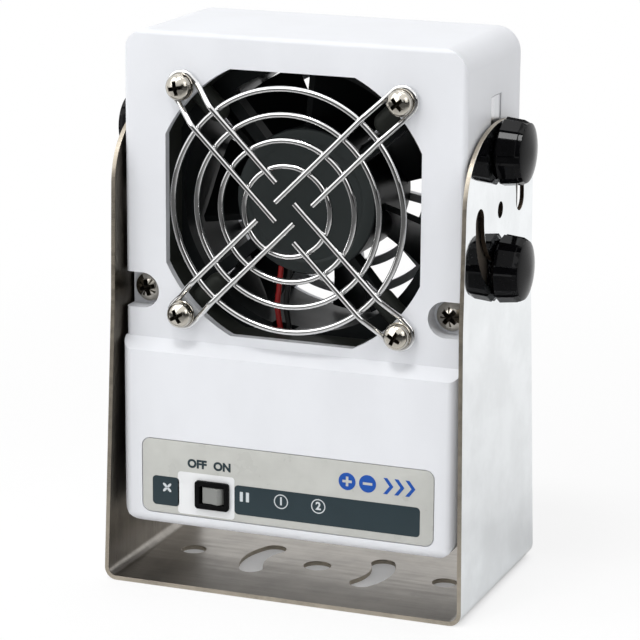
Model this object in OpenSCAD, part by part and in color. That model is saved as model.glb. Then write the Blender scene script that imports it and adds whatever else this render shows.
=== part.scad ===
// Bench ionizing blower: an axial fan blows across four emitter needles in a moulded case,
// which tilts in a bent sheet-metal bracket and is clamped by four lobed knobs.
// Front faces -Y, up is +Z, and the origin is the middle of the bracket's underside.

/* [Case] */
// Distance from the fan's side to the case's side
case_side = 9; // [8.5:0.25:12]
// Distance from the fan's top to the case's top
case_over = 6.6; // [6:0.2:8]
// Distance from the fan's bottom to the case's bottom
case_under = 43.4; // [42:0.2:46]
// Depth of the case from lower panel to back
case_d = 39; // [38.6:0.2:44]
// Wall thickness of the front case
wall = 2; // [1.6:0.1:2.2]
// Thickness of the rear cover
cover_t = 2; // [1.6:0.1:2.4]
// How far the lower panel stands in front of the fan face
face_step = 2.8; // [2:0.1:3.2]
// Corner radius of the case seen from the front
corner_r = 5.5; // [4:0.5:6]
// Radius along the front edges of the fan face
edge_r = 1.2; // [0.8:0.1:1.5]
// Radius along the front edges of the lower panel
panel_edge_r = 2.4; // [1.5:0.1:2.8]
// Height of the sloped ledge between the two front faces
ledge_h = 2.4; // [1.5:0.1:3]
// Height of the lower panel up to the ledge
panel_h = 39.7; // [39:0.1:41]
// Distance from the tilt axis forward to the lower panel
case_front = 22.2; // [21:0.2:23]

/* [Bracket] */
// Thickness of the bracket's sheet metal
sheet_t = 1; // [0.8:0.1:1.5]
// Height of the tilt axis above the bracket's underside
axis_z = 85.8; // [85:0.2:92]
// How far the foot of each arm stands out past its top
base_flare = 1.35; // [0.5:0.05:3]
// Depth of the bracket at its base
base_d = 52; // [48:0.5:60]
// Depth of each arm near its top
arm_d = 46.4; // [43:0.2:48]
// Outside bend radius at the foot of each arm
bend_r = 2.8; // [2:0.1:4]
// Height up to which each arm leans inward
lean_h = 64; // [50:1:65]
// Radius of the arched end of each arm
arm_top_r = 30.5; // [28:0.5:36]
// Corner radius beside the arched end
arm_corner_r = 14; // [8:0.5:16]
// Gap between the case and each arm
arm_gap = 0.5; // [0.3:0.1:0.6]
// Radius of the circle that the clamp studs run on
slot_arc_r = 12.8; // [12:0.1:14]
// Width of the slots in each arm
arm_slot_w = 5.6; // [4.5:0.1:6]
// Clearance between the studs and the inner edge of their slots
slot_play = 0.1; // [0.1:0.05:0.3]
// Angle that the head tilts through
tilt_range = 90; // [60:5:90]
// Diameter of the hole on the tilt axis
pivot_hole_d = 3.6; // [3:0.1:5]

/* [Bracket base holes] */
// Diameter of the middle base hole
centre_hole_d = 6.2; // [5:0.1:7]
// Diameter of the outer base holes
outer_hole_d = 5.6; // [4:0.1:6.5]
// Distance between the outer base holes
outer_hole_pitch = 60.6; // [50:0.2:66]
// Radius of the curved base slots
base_slot_r = 15; // [14:0.5:18]
// Width of the curved base slots
base_slot_w = 5.4; // [4:0.1:6]
// Half the angle of each curved base slot
base_slot_half = 28; // [15:1:35]

/* [Clamp knobs] */
// Diameter of each knob
knob_d = 14.4; // [12:0.2:16]
// Length of the lobed part of each knob
knob_l = 5.9; // [5:0.1:8]
// Rise of the knob's domed face
knob_dome = 1.2; // [0.6:0.1:2]
// Number of lobes on each knob
knob_lobes = 8; // [5:1:10]
// Diameter of each clamp stud
stud_d = 3; // [3:0.5:4]
// Gap between each knob and its arm
seat_gap = 0.1; // [0.05:0.05:0.3]
// Depth of each stud's seat in its knob
stud_grip = 4; // [3:0.5:5]

/* [Fan] */
// Side of the square fan
fan_w = 60; // [60:0.5:61]
// Thickness of the fan
fan_t = 25; // [20:0.5:25]
// Distance from the fan's edges to its screw holes
fan_inset = 5; // [4.5:0.25:5.5]
// Wall between the fan's duct and its edge
duct_wall = 1.3; // [1:0.1:2]
// Diameter of the motor base
motor_d = 32; // [28:0.5:34]
// Diameter of the rotor hub
hub_d = 31; // [28:0.5:32]
// Number of blades
blades = 7; // [5:1:9]
// Gap between blade tips and duct
tip_gap = 0.7; // [0.5:0.1:1.5]
// Diameter of the rotor shaft
shaft_d = 3; // [2:0.5:3]

/* [Guard] */
// Diameter of the guard's wire
wire_d = 1.3; // [1:0.05:1.5]
// Number of rings in the guard
guard_rings = 4; // [3:1:4]
// Radius of the smallest ring
ring_min_r = 9.8; // [9:0.2:11]
// Distance from one ring to the next
ring_pitch = 5.5; // [5:0.1:5.7]
// Distance between the two wires of a guard arm
pair_w = 6; // [5.6:0.1:6.4]
// Distance from the fan face to the middle of the rings
ring_off = 2.5; // [2:0.1:3]

/* [Emitter ring] */
// How much narrower than the fan the opening in front of it is
mouth_in = 1.5; // [1:0.1:3]
// How far the rounding of that opening's corners stands outside its flats
mouth_out = 3.25; // [2.5:0.25:4]
// How much wider than the fan the emitter ring is
ring_over = 2; // [1:0.25:3]
// Diameter of each needle holder
holder_d = 5; // [4:0.5:6]
// Diameter of the emitter needles
needle_d = 0.8; // [0.6:0.1:1]

/* [Lower panel] */
// Width of the label plate
label_w = 68; // [60:0.5:69]
// Height of the label plate
label_h = 16.8; // [15:0.2:20]
// Distance from the bottom of the case to the label
label_up = 3; // [2.5:0.1:6]
// Thickness of the label plate
label_t = 0.5; // [0.3:0.1:0.8]
// Width of the switch's bezel
bezel_w = 8.1; // [7.6:0.1:9]
// Height of the switch's bezel
bezel_h = 6.4; // [6:0.1:7]
// Distance of the switch from the middle of the case
switch_out = 17.2; // [15:0.2:19]
// Angle that the switch rocks through
rock_range = 16; // [10:1:18]

/* [Hidden] */
$fn = 64;

// Small overshoot that keeps cuts clean
e = 0.01;
// Clearance round parts that only sit in an opening
fit = 0.2;
// Running clearance on a diameter
run = 0.1;
// Clearance on a diameter that is pressed or screwed in
press = 0.04;
// Extra width of a screw's clearance hole
screw_play = 0.4;

// Sizes that follow the fan
fan_pitch = fan_w - 2 * fan_inset;
duct_d = fan_w - 2 * duct_wall;
mouth_w = fan_w - mouth_in;
mouth_r = mouth_w / 2 + mouth_out;
ring_w = fan_w + ring_over;

// Heights
fan_rise = 0.5;
fan_z = axis_z + fan_rise;
case_w = fan_w + 2 * case_side;
case_h = fan_w + case_over + case_under;
case_top = fan_z + fan_w / 2 + case_over;
case_bot = case_top - case_h;
case_mid = (case_top + case_bot) / 2;
ledge_low = case_bot + panel_h;
ledge_high = ledge_low + ledge_h;

// Depths
panel_y = -case_front;
face_y = panel_y + face_step;
back_y = panel_y + case_d;
split_y = back_y - cover_t;
inner_y = face_y + wall;
fan_slack = 0.5;
fan_back_y = split_y - fan_slack;
fan_y = fan_back_y - fan_t;
ring_t = fan_y - inner_y;

// Inside of the case
in_x = case_w / 2 - wall;
in_r = corner_r - wall;

// Corner pillars that take the rear screws
pillar_d = 6;
pillar_sunk = 0.6;
pillar_in = wall + pillar_d / 2 - pillar_sunk;
pillar_x = case_w / 2 - pillar_in;
pillar_z = [case_bot + pillar_in, case_top - pillar_in];
rear_screw_d = 2.4;
rear_screw_l = 9;
rear_head_d = 5.6;
rear_head_h = 1.6;
rear_sink = 0.8;

// Pockets for the case screws
pocket_d = 7.9;
pocket_wall = 0.9;
pocket_depth = 4.5;
pocket_x = case_w / 2 - 4;
pocket_z = fan_z - fan_pitch / 2 + 4.1;
pocket_floor_y = face_y + pocket_depth;
pocket_back_y = pocket_floor_y + 1.9;
tab_t = 1.5;
case_screw_d = 3.5;
case_head_d = 6.6;
case_head_h = 2.4;
case_screw_l = pocket_back_y - pocket_floor_y + tab_t + 0.7;

// Arms
arm_x = case_w / 2 + arm_gap + sheet_t;
base_w = 2 * (arm_x + base_flare);
arm_rise = 20;
knob_chamfer = 0.5;
flute_out = 0.35;
stud_in = 0.6;
arm_arc_z = axis_z + arm_rise - arm_top_r;
slot_mid_r = slot_arc_r - stud_d / 2 - slot_play + arm_slot_w / 2;

// Tilt plates
strip_w = 6.6;
strip_h = 49.2;
strip_sunk = 0.2;
flange_t = 2;
flange_w = 11;
flange_over = 2;
flange_x = in_x - flange_t;
tab_h = 8;
tab_x = pocket_x - case_screw_d / 2 - 1.6;

// Fan
flange_fan_t = 3.5;
fan_hole_d = 4.3;
fan_corner_r = 3;
strut_t = 4;
motor_t = 3;
tube_d = 7.2;
bearing_od = 6;
bearing_id = shaft_d + press;
bearing_l = 3;
bearing_seat = 1.4;
circuit_d = 24;
circuit_t = 0.8;
stator_up = 3;
stator_l = 8;
stator_d = 21.6;
core_d = 12;
pole_w = 4;
shoe_w = 12;
shoe_t = 1.8;
air_gap = 0.6;
magnet_up = 1.4;
magnet_l = 12;
hub_l = fan_t - motor_t - 2.4;
hub_y = fan_y + motor_t + 1.2;
hub_wall = 1.3;
hub_end_t = 1.6;
tube_end = hub_y + hub_l - hub_end_t - 0.4;
blade_l = fan_t - strut_t - 6.5;
blade_y = fan_y + strut_t + 3;
blade_t = 1.3;
blade_pitch = 55;
blade_turn = 10;
blade_lean = 20;
lead_d = 1.2;
lead_x = [-6, -4.3];
lead_step = 0.9;
notch_w = 5.4;
notch_t = 2.6;

// Guard and its screws
ring_y = face_y - ring_off;
wire_swell = 0.01;
arm_wire_y = ring_y - wire_d + 0.15;
foot_y = face_y - wire_d / 2 - wire_swell;
screw_r = fan_pitch / sqrt(2);
jog_out = screw_r - 2.16;
jog_in = jog_out - 5.8;
long_stop = 0;
short_stop = pair_w - 0.1;
m3 = 3;
guard_head_d = 5.5;
guard_head_h = 2.1;
plain_d = 6;
plain_t = 0.5;
spring_d = 5.6;
spring_t = 0.8;
spring_split = 0.6;
plain_y = face_y - wire_d - 2 * wire_swell - plain_t;
spring_y = plain_y - spring_t;
nut_h = 2.4;
nut_w = 5.5;
guard_screw_l = fan_y + flange_fan_t + nut_h + 0.6 - spring_y;

// Emitter holders and needles
holder_y = inner_y + ring_t / 2;
holder_in = screw_r - 8.2;
needle_point = 3;
hv_lead_x = 20;
hv_lead_y = 2;
hv_lead_d = 1.6;
hv_lead_turn = fan_z - ring_w / 2 - 2.2;
needle_tip_r = holder_in - 5.7;
needle_end_r = screw_r - m3 / 2 - 1;

// Lower panel
label_z = case_bot + label_up + label_h / 2;
label_r = 1.9;
switch_x = -switch_out;
switch_z = label_z - 3.1;
bezel_out = 0.8;
switch_body_w = bezel_w - 1;
switch_body_h = bezel_h - 0.9;
rocker_w = 5.1;
rocker_h = 3.7;
rocker_pivot_y = panel_y + 1.3;
rocker_r = rocker_w / 2 + 0.25;
rocker_axle_d = 1;
rocker_axle_out = 0.5;
pipe_x = [-28.2, -9.6, -1, 7.7];
pipe_d = 2;
pipe_z = label_z - 2.5;

// Board
board_y = panel_y + 10.2;
board_t = 1.6;
board_w = 60;
board_top = ledge_low - 1.8;
board_bot = case_bot + wall + 2.4;
post_x = 26;
post_z = [board_bot + 12.7, board_top - 2.8];
post_d = 5;
board_screw_d = 2;
board_head_d = 4;
board_head_h = 1.4;
board_screw_l = 6;
hv_w = 34;
hv_h = 24;
hv_t = 18;
hv_x = 5.6;
hv_z = board_bot + 13.2;
header_z = board_top - 3;
header_w = 6;
header_t = 4;
header_h = 5;
// Each capacitor's x, distance below the board's top, diameter and length
capacitors = [[-17, 9, 8, 12], [-26, 14, 6.3, 8]];
chip_x = -24;
chip_up = 13;
chip_w = 9;
chip_t = 2;
chip_h = 6;
trimmer_x = 18;
trimmer_w = 6;
trimmer_h = 5;
trimmer_down = 8;
lamp_d = 3;
lamp_l = 2;

// Power socket
socket_x = -19;
socket_z = board_bot + 7.5;
socket_d = 7.8;
socket_l = 9;
socket_flange_d = 10;
socket_flange_t = 1.6;
socket_box_w = 9;
socket_box_l = 8;
jack_d = 5.6;
jack_l = 7;
pin_d = 2;

// ---- helpers: flat shapes stood up along one axis ----

// A flat X-Z shape, from y to y + t
module plate_y(y, t) {
    translate([0, y + t, 0]) rotate([90, 0, 0]) linear_extrude(t) children();
}

// A flat Y-Z shape, from x to x + t
module plate_x(x, t) {
    translate([x, 0, 0]) rotate([90, 0, 90]) linear_extrude(t) children();
}

// A rod that starts at p and runs along +Y
module rod_y(p, d, l) {
    translate(p) rotate([-90, 0, 0]) cylinder(d = d, h = l);
}

// A rod that starts at p and runs along +X
module rod_x(p, d, l) {
    translate(p) rotate([0, 90, 0]) cylinder(d = d, h = l);
}

// A flat bar with round corners, centred
module round_rect(w, h, r) {
    square([w - 2 * r, h], center = true);
    square([w, h - 2 * r], center = true);
    for (x = [-1, 1], z = [-1, 1]) translate([x * (w / 2 - r), z * (h / 2 - r)]) circle(r);
}

// A slot along an arc of radius r about the origin, from angle a0 to a1
module arc_slot(r, w, t, a0, a1) {
    rotate([0, 0, a0]) rotate_extrude(angle = a1 - a0) translate([r - w / 2, 0]) square([w, t]);
    for (a = [a0, a1]) rotate([0, 0, a]) translate([r, 0, 0]) cylinder(d = w, h = t);
}

// Round wire through the given points, bent to radius r at each inner one. Each straight
// runs a little way into its bends, which are a hair thicker, so the pieces join cleanly.
module wire(points, d, r) {
    lap = 0.1;
    n = len(points);
    dirs = [for (i = [0 : n - 2]) (points[i + 1] - points[i]) / norm(points[i + 1] - points[i])];
    turns = [for (i = [0 : n - 1]) i == 0 || i == n - 1 ? 0 : acos(dirs[i - 1] * dirs[i])];
    trims = [for (a = turns) r * tan(a / 2)];
    for (i = [0 : n - 2]) {
        u = dirs[i];
        back = trims[i] > 0 ? lap : 0;
        ahead = trims[i + 1] > 0 ? lap : 0;
        l = norm(points[i + 1] - points[i]) - trims[i] - trims[i + 1] + back + ahead;
        translate(points[i] + u * (trims[i] - back)) rotate([0, acos(u[2]), atan2(u[1], u[0])])
            cylinder(d = d, h = l, $fn = 24);
    }
    for (i = [1 : n - 2]) if (turns[i] > 0) {
        u = dirs[i - 1];
        v = dirs[i];
        start = points[i] - u * trims[i];
        normal = cross(u, v) / norm(cross(u, v));
        out = cross(u, normal);
        middle = start - out * r;
        multmatrix([for (k = [0 : 2]) [out[k], u[k], normal[k], middle[k]]])
            rotate_extrude(angle = turns[i]) translate([r, 0]) circle(d = d + 2 * wire_swell, $fn = 24);
    }
}

// A pan-head screw whose head seats at p and whose shank runs along +Y
module pan_screw(p, d, head_d, head_h, l) {
    recess = head_d * 0.17;
    difference() {
        union() {
            rod_y(p, d, l);
            intersection() {
                rod_y(p - [0, head_h, 0], head_d, head_h);
                translate(p + [0, head_d * 0.62 - head_h, 0]) sphere(r = head_d * 0.62);
            }
        }
        for (a = [0, 90]) translate(p - [0, head_h + e, 0]) rotate([0, a + 35, 0])
            translate([-head_d * 0.28, 0, -recess / 2]) cube([head_d * 0.56, head_h * 0.6, recess]);
    }
}

// ---- bracket ----

// Outline of the bracket's U, seen from the front, inset by i
module bracket_u(i) {
    foot = base_w / 2 - bend_r;
    half = [
        [foot, i], [base_w / 2 - i, bend_r], [arm_x - i, lean_h], [arm_x - i, axis_z + arm_top_r],
    ];
    polygon(concat(half, [for (k = [len(half) - 1 : -1 : 0]) [-half[k][0], half[k][1]]]));
    for (s = [-1, 1]) translate([s * foot, bend_r]) circle(bend_r - i);
}

// Outline of an arm seen from the side: tapered, with an arched end
module arm_side() {
    corner_y = arm_d / 2 - arm_corner_r;
    reach = arm_top_r - arm_corner_r;
    corner_z = arm_arc_z + sqrt(reach * reach - corner_y * corner_y);
    polygon([
        [-base_d / 2, 0], [base_d / 2, 0], [arm_d / 2, corner_z], [-arm_d / 2, corner_z],
    ]);
    for (s = [-1, 1]) translate([s * corner_y, corner_z]) circle(arm_corner_r);
    intersection() {
        translate([0, arm_arc_z]) circle(arm_top_r, $fn = 128);
        polygon([
            [0, arm_arc_z], [2 * corner_y, 2 * corner_z - arm_arc_z],
            [-2 * corner_y, 2 * corner_z - arm_arc_z],
        ]);
    }
}

// The two slots in one arm, as cutters that run along +X from the origin
module tilt_slots(t) {
    for (a = [0, 180]) rotate([90, 0, 90])
        arc_slot(slot_mid_r, arm_slot_w, t, a + 90 - tilt_range, a + 90);
}

module bracket() {
    cut_t = 6;
    color("silver") difference() {
        intersection() {
            plate_y(-base_d / 2, base_d) difference() {
                bracket_u(0);
                bracket_u(sheet_t);
                translate([-arm_x, axis_z + arm_top_r - 1]) square([2 * arm_x, 2]);
            }
            plate_x(-base_w / 2 - 1, base_w + 2) arm_side();
        }
        for (s = [-1, 1]) translate([s * arm_x - cut_t / 2, 0, axis_z]) {
            tilt_slots(cut_t);
            rod_x([0, 0, 0], pivot_hole_d, cut_t);
        }
        translate([0, panel_y + case_d / 2, -1]) {
            cylinder(d = centre_hole_d, h = sheet_t + 2);
            for (s = [-1, 1]) translate([s * outer_hole_pitch / 2, 0, 0])
                cylinder(d = outer_hole_d, h = sheet_t + 2);
            for (a = [0, 180])
                arc_slot(base_slot_r, base_slot_w, sheet_t + 2, a - base_slot_half, a + base_slot_half);
        }
    }
}

// ---- case ----

// Outline of the case seen from the front, inset by i
module case_outline(i) {
    translate([0, case_mid]) round_rect(case_w - 2 * i, case_h - 2 * i, corner_r - i);
}

// A block with its two front upright edges rounded, seen from above
module front_rounded(y, r) {
    translate([0, 0, case_bot - 1]) linear_extrude(case_h + 2) {
        translate([-case_w / 2, y + r]) square([case_w, split_y - y - r]);
        translate([-case_w / 2 + r, y]) square([case_w - 2 * r, r + 1]);
        for (s = [-1, 1]) translate([s * (case_w / 2 - r), y + r]) circle(r);
    }
}

// Outline of the case seen from the side
module case_profile() {
    translate([face_y, case_bot + 10]) square([split_y - face_y, case_h - 10 - edge_r]);
    translate([face_y + edge_r, case_top - edge_r]) circle(edge_r);
    translate([face_y + edge_r, case_mid]) square([split_y - face_y - edge_r, case_top - case_mid]);
    polygon([
        [panel_y, case_bot + panel_edge_r], [panel_y, ledge_low], [face_y, ledge_high],
        [split_y, ledge_high], [split_y, case_bot + panel_edge_r],
    ]);
    translate([panel_y + panel_edge_r, case_bot]) square([split_y - panel_y - panel_edge_r, 12]);
    translate([panel_y + panel_edge_r, case_bot + panel_edge_r]) circle(panel_edge_r);
}

// The case's outside, solid
module case_block() {
    intersection() {
        plate_y(panel_y, split_y - panel_y) case_outline(0);
        plate_x(-case_w / 2, case_w) case_profile();
        union() {
            intersection() {
                front_rounded(face_y, edge_r);
                translate([-case_w, panel_y - 1, ledge_low]) cube([2 * case_w, case_d + 2, case_h]);
            }
            intersection() {
                front_rounded(panel_y, panel_edge_r);
                translate([-case_w, panel_y - 1, 0]) cube([2 * case_w, case_d + 2, ledge_high]);
            }
        }
    }
}

// Outline of the opening in front of the fan
module mouth() {
    translate([0, fan_z]) intersection() {
        square(mouth_w, center = true);
        circle(mouth_r, $fn = 128);
    }
}

// Outline of a pocket that is open towards its side of the case
module pocket(s, d) {
    translate([s * pocket_x, pocket_z]) {
        circle(d = d);
        translate([s > 0 ? 0 : -10, -d / 2]) square([10, d]);
    }
}

// Corners of the fan's screw pattern
module at_fan_screws() {
    for (x = [-1, 1], z = [-1, 1]) translate([x * fan_pitch / 2, 0, fan_z + z * fan_pitch / 2]) children();
}

module front_case() {
    color([0.91, 0.92, 0.94]) difference() {
        union() {
            difference() {
                case_block();
                plate_y(inner_y, case_d) intersection() {
                    case_outline(wall);
                    translate([-case_w, ledge_low - wall]) square([2 * case_w, case_h]);
                }
                plate_y(panel_y + wall, case_d) intersection() {
                    case_outline(wall);
                    translate([-case_w, 0]) square([2 * case_w, ledge_low]);
                }
            }
            for (s = [-1, 1]) {
                for (z = pillar_z) rod_y([s * pillar_x, inner_y - 1, z], pillar_d, split_y - inner_y + 1);
                for (z = post_z) rod_y([s * post_x, panel_y + 1, z], post_d, board_y - panel_y - 1);
                intersection() {
                    plate_y(inner_y - 1, pocket_back_y - inner_y + 1)
                        pocket(s, pocket_d + 2 * pocket_wall);
                    translate([-in_x, face_y, 0]) cube([2 * in_x, case_d, case_top]);
                }
            }
        }
        plate_y(face_y - 5, 5 + wall + 1) mouth();
        for (s = [-1, 1]) {
            plate_y(face_y - 5, 5 + pocket_depth) pocket(s, pocket_d);
            rod_y([s * pocket_x, face_y, pocket_z], case_screw_d + screw_play, 10);
            translate([0, 0, axis_z]) plate_x(s * case_w / 2 - wall - 1, 2 * wall + 2)
                square([strip_w + 2 * fit, strip_h + 2 * fit], center = true);
            for (z = pillar_z)
                rod_y([s * pillar_x, split_y - rear_screw_l - 1, z], rear_screw_d + press, rear_screw_l + 2);
            for (z = post_z)
                rod_y([s * post_x, board_y - board_screw_l, z], board_screw_d, board_screw_l + 1);
        }
        at_fan_screws() rod_y([0, face_y - 1, 0], m3 + screw_play, wall + 2);
        translate([0, 0, label_z]) plate_y(panel_y - 1, 1 + label_t)
            round_rect(label_w + 2 * fit, label_h + 2 * fit, label_r + fit);
        translate([switch_x, 0, switch_z]) plate_y(panel_y - 1, wall + 2)
            square([switch_body_w + 2 * fit, switch_body_h + 2 * fit], center = true);
        for (x = pipe_x) rod_y([x, panel_y - 1, pipe_z], pipe_d + run, wall + 2);
    }
}

// The rear cover: a plate with a locating lip and a moulded grille over the fan inlet
module rear_cover() {
    inlet_r = duct_d / 2 + 0.4;
    lip_t = 1.2;
    lip_l = 2.2;
    grille_r = [5.9, 12.1, 18.3, 24.5];
    spokes = 10;
    bar_w = 1.8;
    foot_clear = pillar_d / 2 + 0.5;
    color([0.89, 0.90, 0.92]) difference() {
        union() {
            plate_y(split_y, cover_t) difference() {
                case_outline(0);
                translate([0, fan_z]) circle(inlet_r, $fn = 96);
            }
            difference() {
                plate_y(split_y - lip_l, lip_l) difference() {
                    case_outline(wall + 0.15);
                    case_outline(wall + 0.15 + lip_t);
                }
                for (s = [-1, 1], z = pillar_z)
                    rod_y([s * pillar_x, split_y - lip_l - 1, z], 2 * foot_clear + 2.4, lip_l + 1);
                plate_y(split_y - lip_l - 1, lip_l + 1)
                    translate([-case_w, axis_z - strip_h / 2 - flange_over])
                        square([2 * case_w, strip_h + 2 * flange_over]);
            }
            plate_y(split_y, cover_t) translate([0, fan_z]) {
                for (r = grille_r) difference() {
                    circle(r + bar_w, $fn = 72);
                    if (r > grille_r[0]) circle(r, $fn = 72);
                }
                for (i = [0 : spokes - 1]) rotate(i * 360 / spokes - 46) translate([grille_r[0], -bar_w / 2])
                    square([inlet_r - grille_r[0] + 0.5, bar_w]);
            }
        }
        for (s = [-1, 1], z = pillar_z) {
            rod_y([s * pillar_x, split_y - 1, z], rear_screw_d + screw_play, cover_t + 2);
            rod_y([s * pillar_x, back_y - rear_sink, z], rear_head_d + 4 * fit, 2);
        }
        rod_y([socket_x, split_y - 1, socket_z], socket_d + 2 * fit, cover_t + 2);
    }
}

module rear_screws() {
    color("gainsboro") for (s = [-1, 1], z = pillar_z)
        translate([s * pillar_x, back_y - rear_sink, z]) mirror([0, 1, 0])
            pan_screw([0, 0, 0], rear_screw_d, rear_head_d, rear_head_h, rear_screw_l);
}

module case_screws() {
    color("gainsboro") for (s = [-1, 1])
        pan_screw([s * pocket_x, pocket_floor_y, pocket_z], case_screw_d, case_head_d, case_head_h,
            case_screw_l);
}

// ---- tilt plates, studs and knobs ----

// Steel plate inside one side of the case; its strip shows through the case wall
module tilt_plate(s) {
    color([0.72, 0.73, 0.74]) difference() {
        union() {
            translate([0, 0, axis_z]) {
                plate_x(s > 0 ? flange_x : -in_x, flange_t)
                    square([flange_w, strip_h + 2 * flange_over], center = true);
                plate_x(s > 0 ? in_x - e : -case_w / 2 + strip_sunk, wall - strip_sunk + e)
                    square([strip_w, strip_h], center = true);
            }
            translate([s > 0 ? flange_x : -in_x, pocket_back_y, pocket_z - tab_h / 2])
                cube([flange_t, -pocket_back_y, tab_h]);
            translate([s > 0 ? tab_x : -in_x, pocket_back_y, pocket_z - tab_h / 2])
                cube([in_x - tab_x, tab_t, tab_h]);
        }
        for (k = [-1, 1]) rod_x([s > 0 ? flange_x - 1 : -case_w / 2 - 1, 0, axis_z + k * slot_arc_r],
            stud_d + run, flange_t + wall + 2);
        rod_y([s * pocket_x, pocket_back_y - 1, pocket_z], case_screw_d + press, tab_t + 4);
    }
}

// Moves a knob or stud, drawn along +X from the origin, to its seat; s is the side, k is up or down
module at_clamp(s, k) {
    translate([s * (arm_x + seat_gap), 0, axis_z + k * slot_arc_r]) mirror([s > 0 ? 0 : 1, 0, 0]) children();
}

module knob(s, k) {
    flute_d = knob_d * PI / knob_lobes / 2;
    dome_r = (knob_d * knob_d / 4 + knob_dome * knob_dome) / (2 * knob_dome);
    color([0.06, 0.06, 0.07]) at_clamp(s, k) difference() {
        intersection() {
            rod_x([0, 0, 0], knob_d, knob_l + knob_dome);
            rotate([0, 90, 0]) cylinder(
                r1 = knob_d / 2 - knob_chamfer, r2 = knob_d / 2 - knob_chamfer + 2 * knob_l, h = 2 * knob_l
            );
            translate([knob_l + knob_dome - dome_r, 0, 0]) rotate([0, 90, 0]) sphere(dome_r, $fn = 96);
        }
        for (i = [0 : knob_lobes - 1]) rotate([(i + 0.5) * 360 / knob_lobes, 0, 0])
            rod_x([-1, 0, knob_d / 2 + flute_out], flute_d, knob_l + 3);
        rod_x([-1, 0, 0], stud_d + press, stud_grip + 1);
    }
}

module stud(s, k) {
    inner = seat_gap + sheet_t + arm_gap + wall + flange_t + stud_in;
    color("silver") at_clamp(s, k) rod_x([-inner, 0, 0], stud_d, inner + stud_grip);
}

// ---- guard ----

// One hairpin: it steps in over the rings on both sides of a loop that lies round a screw
module guard_arm() {
    half = pair_w / 2;
    wire([
        [long_stop, arm_wire_y, half], [jog_in, arm_wire_y, half], [jog_out, foot_y, half],
        [screw_r + half, foot_y, half], [screw_r + half, foot_y, -half],
        [jog_out, foot_y, -half], [jog_in, arm_wire_y, -half], [short_stop, arm_wire_y, -half],
    ], wire_d, half - 0.05);
}

module fan_guard() {
    color([0.86, 0.86, 0.87]) translate([0, 0, fan_z]) {
        for (i = [0 : guard_rings - 1]) translate([0, ring_y, 0]) rotate([90, 0, 0])
            rotate_extrude($fn = 72) translate([ring_min_r + i * ring_pitch, 0]) circle(d = wire_d, $fn = 24);
        for (a = [45 : 90 : 315]) rotate([0, a, 0]) guard_arm();
    }
}

module guard_screws() {
    color("gainsboro") at_fan_screws()
        pan_screw([0, spring_y, 0], m3, guard_head_d, guard_head_h, guard_screw_l);
}

module guard_washers() {
    color("silver") at_fan_screws() {
        difference() {
            rod_y([0, plain_y, 0], plain_d, plain_t);
            rod_y([0, plain_y - 1, 0], m3 + run, plain_t + 2);
        }
        difference() {
            rod_y([0, spring_y, 0], spring_d, spring_t);
            rod_y([0, spring_y - 1, 0], m3 + run, spring_t + 2);
            translate([1, spring_y - 1, -spring_split / 2]) cube([spring_d, spring_t + 2, spring_split]);
        }
    }
}

module fan_nuts() {
    color("silver") at_fan_screws() translate([0, fan_y + flange_fan_t, 0]) rotate([-90, 0, 0])
        difference() {
            cylinder(d = nut_w / cos(30), h = nut_h, $fn = 6);
            translate([0, 0, -1]) cylinder(d = m3 + run, h = nut_h + 2);
        }
}

// ---- emitter ring ----

module emitter_ring() {
    color([0.22, 0.23, 0.22]) difference() {
        plate_y(inner_y, ring_t) translate([0, fan_z]) round_rect(ring_w, ring_w, 5);
        difference() {
            plate_y(inner_y - 1, ring_t + 2) mouth();
            for (a = [45 : 90 : 315]) translate([0, holder_y, fan_z]) rotate([0, a, 0]) {
                rod_x([holder_in, 0, 0], holder_d, 12);
                translate([holder_in, 0, 0]) sphere(d = holder_d);
            }
        }
        at_fan_screws() rod_y([0, inner_y - 1, 0], m3 + screw_play, ring_t + 2);
        for (s = [-1, 1]) plate_y(inner_y - 1, pocket_back_y - inner_y + 1.1)
            pocket(s, pocket_d + 2 * pocket_wall + run);
        for (a = [45 : 90 : 315]) translate([0, holder_y, fan_z]) rotate([0, a, 0])
            rod_x([0, 0, 0], needle_d + press, needle_end_r + run);
    }
}

module emitter_needles() {
    color([0.5, 0.5, 0.52]) for (a = [45 : 90 : 315]) translate([0, holder_y, fan_z]) rotate([0, a, 0]) {
        rod_x([needle_tip_r + needle_point, 0, 0], needle_d, needle_end_r - needle_tip_r - needle_point);
        translate([needle_tip_r, 0, 0]) rotate([0, 90, 0])
            cylinder(d1 = 0.1, d2 = needle_d, h = needle_point, $fn = 24);
    }
}

module emitter_lead() {
    x = hv_lead_x;
    color("white") wire([
        [x, hv_lead_y, hv_z + hv_h / 2], [x, hv_lead_y, hv_lead_turn], [x, holder_y, hv_lead_turn],
        [x, holder_y, fan_z - ring_w / 2],
    ], hv_lead_d, hv_lead_d);
}

// ---- fan ----

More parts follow.
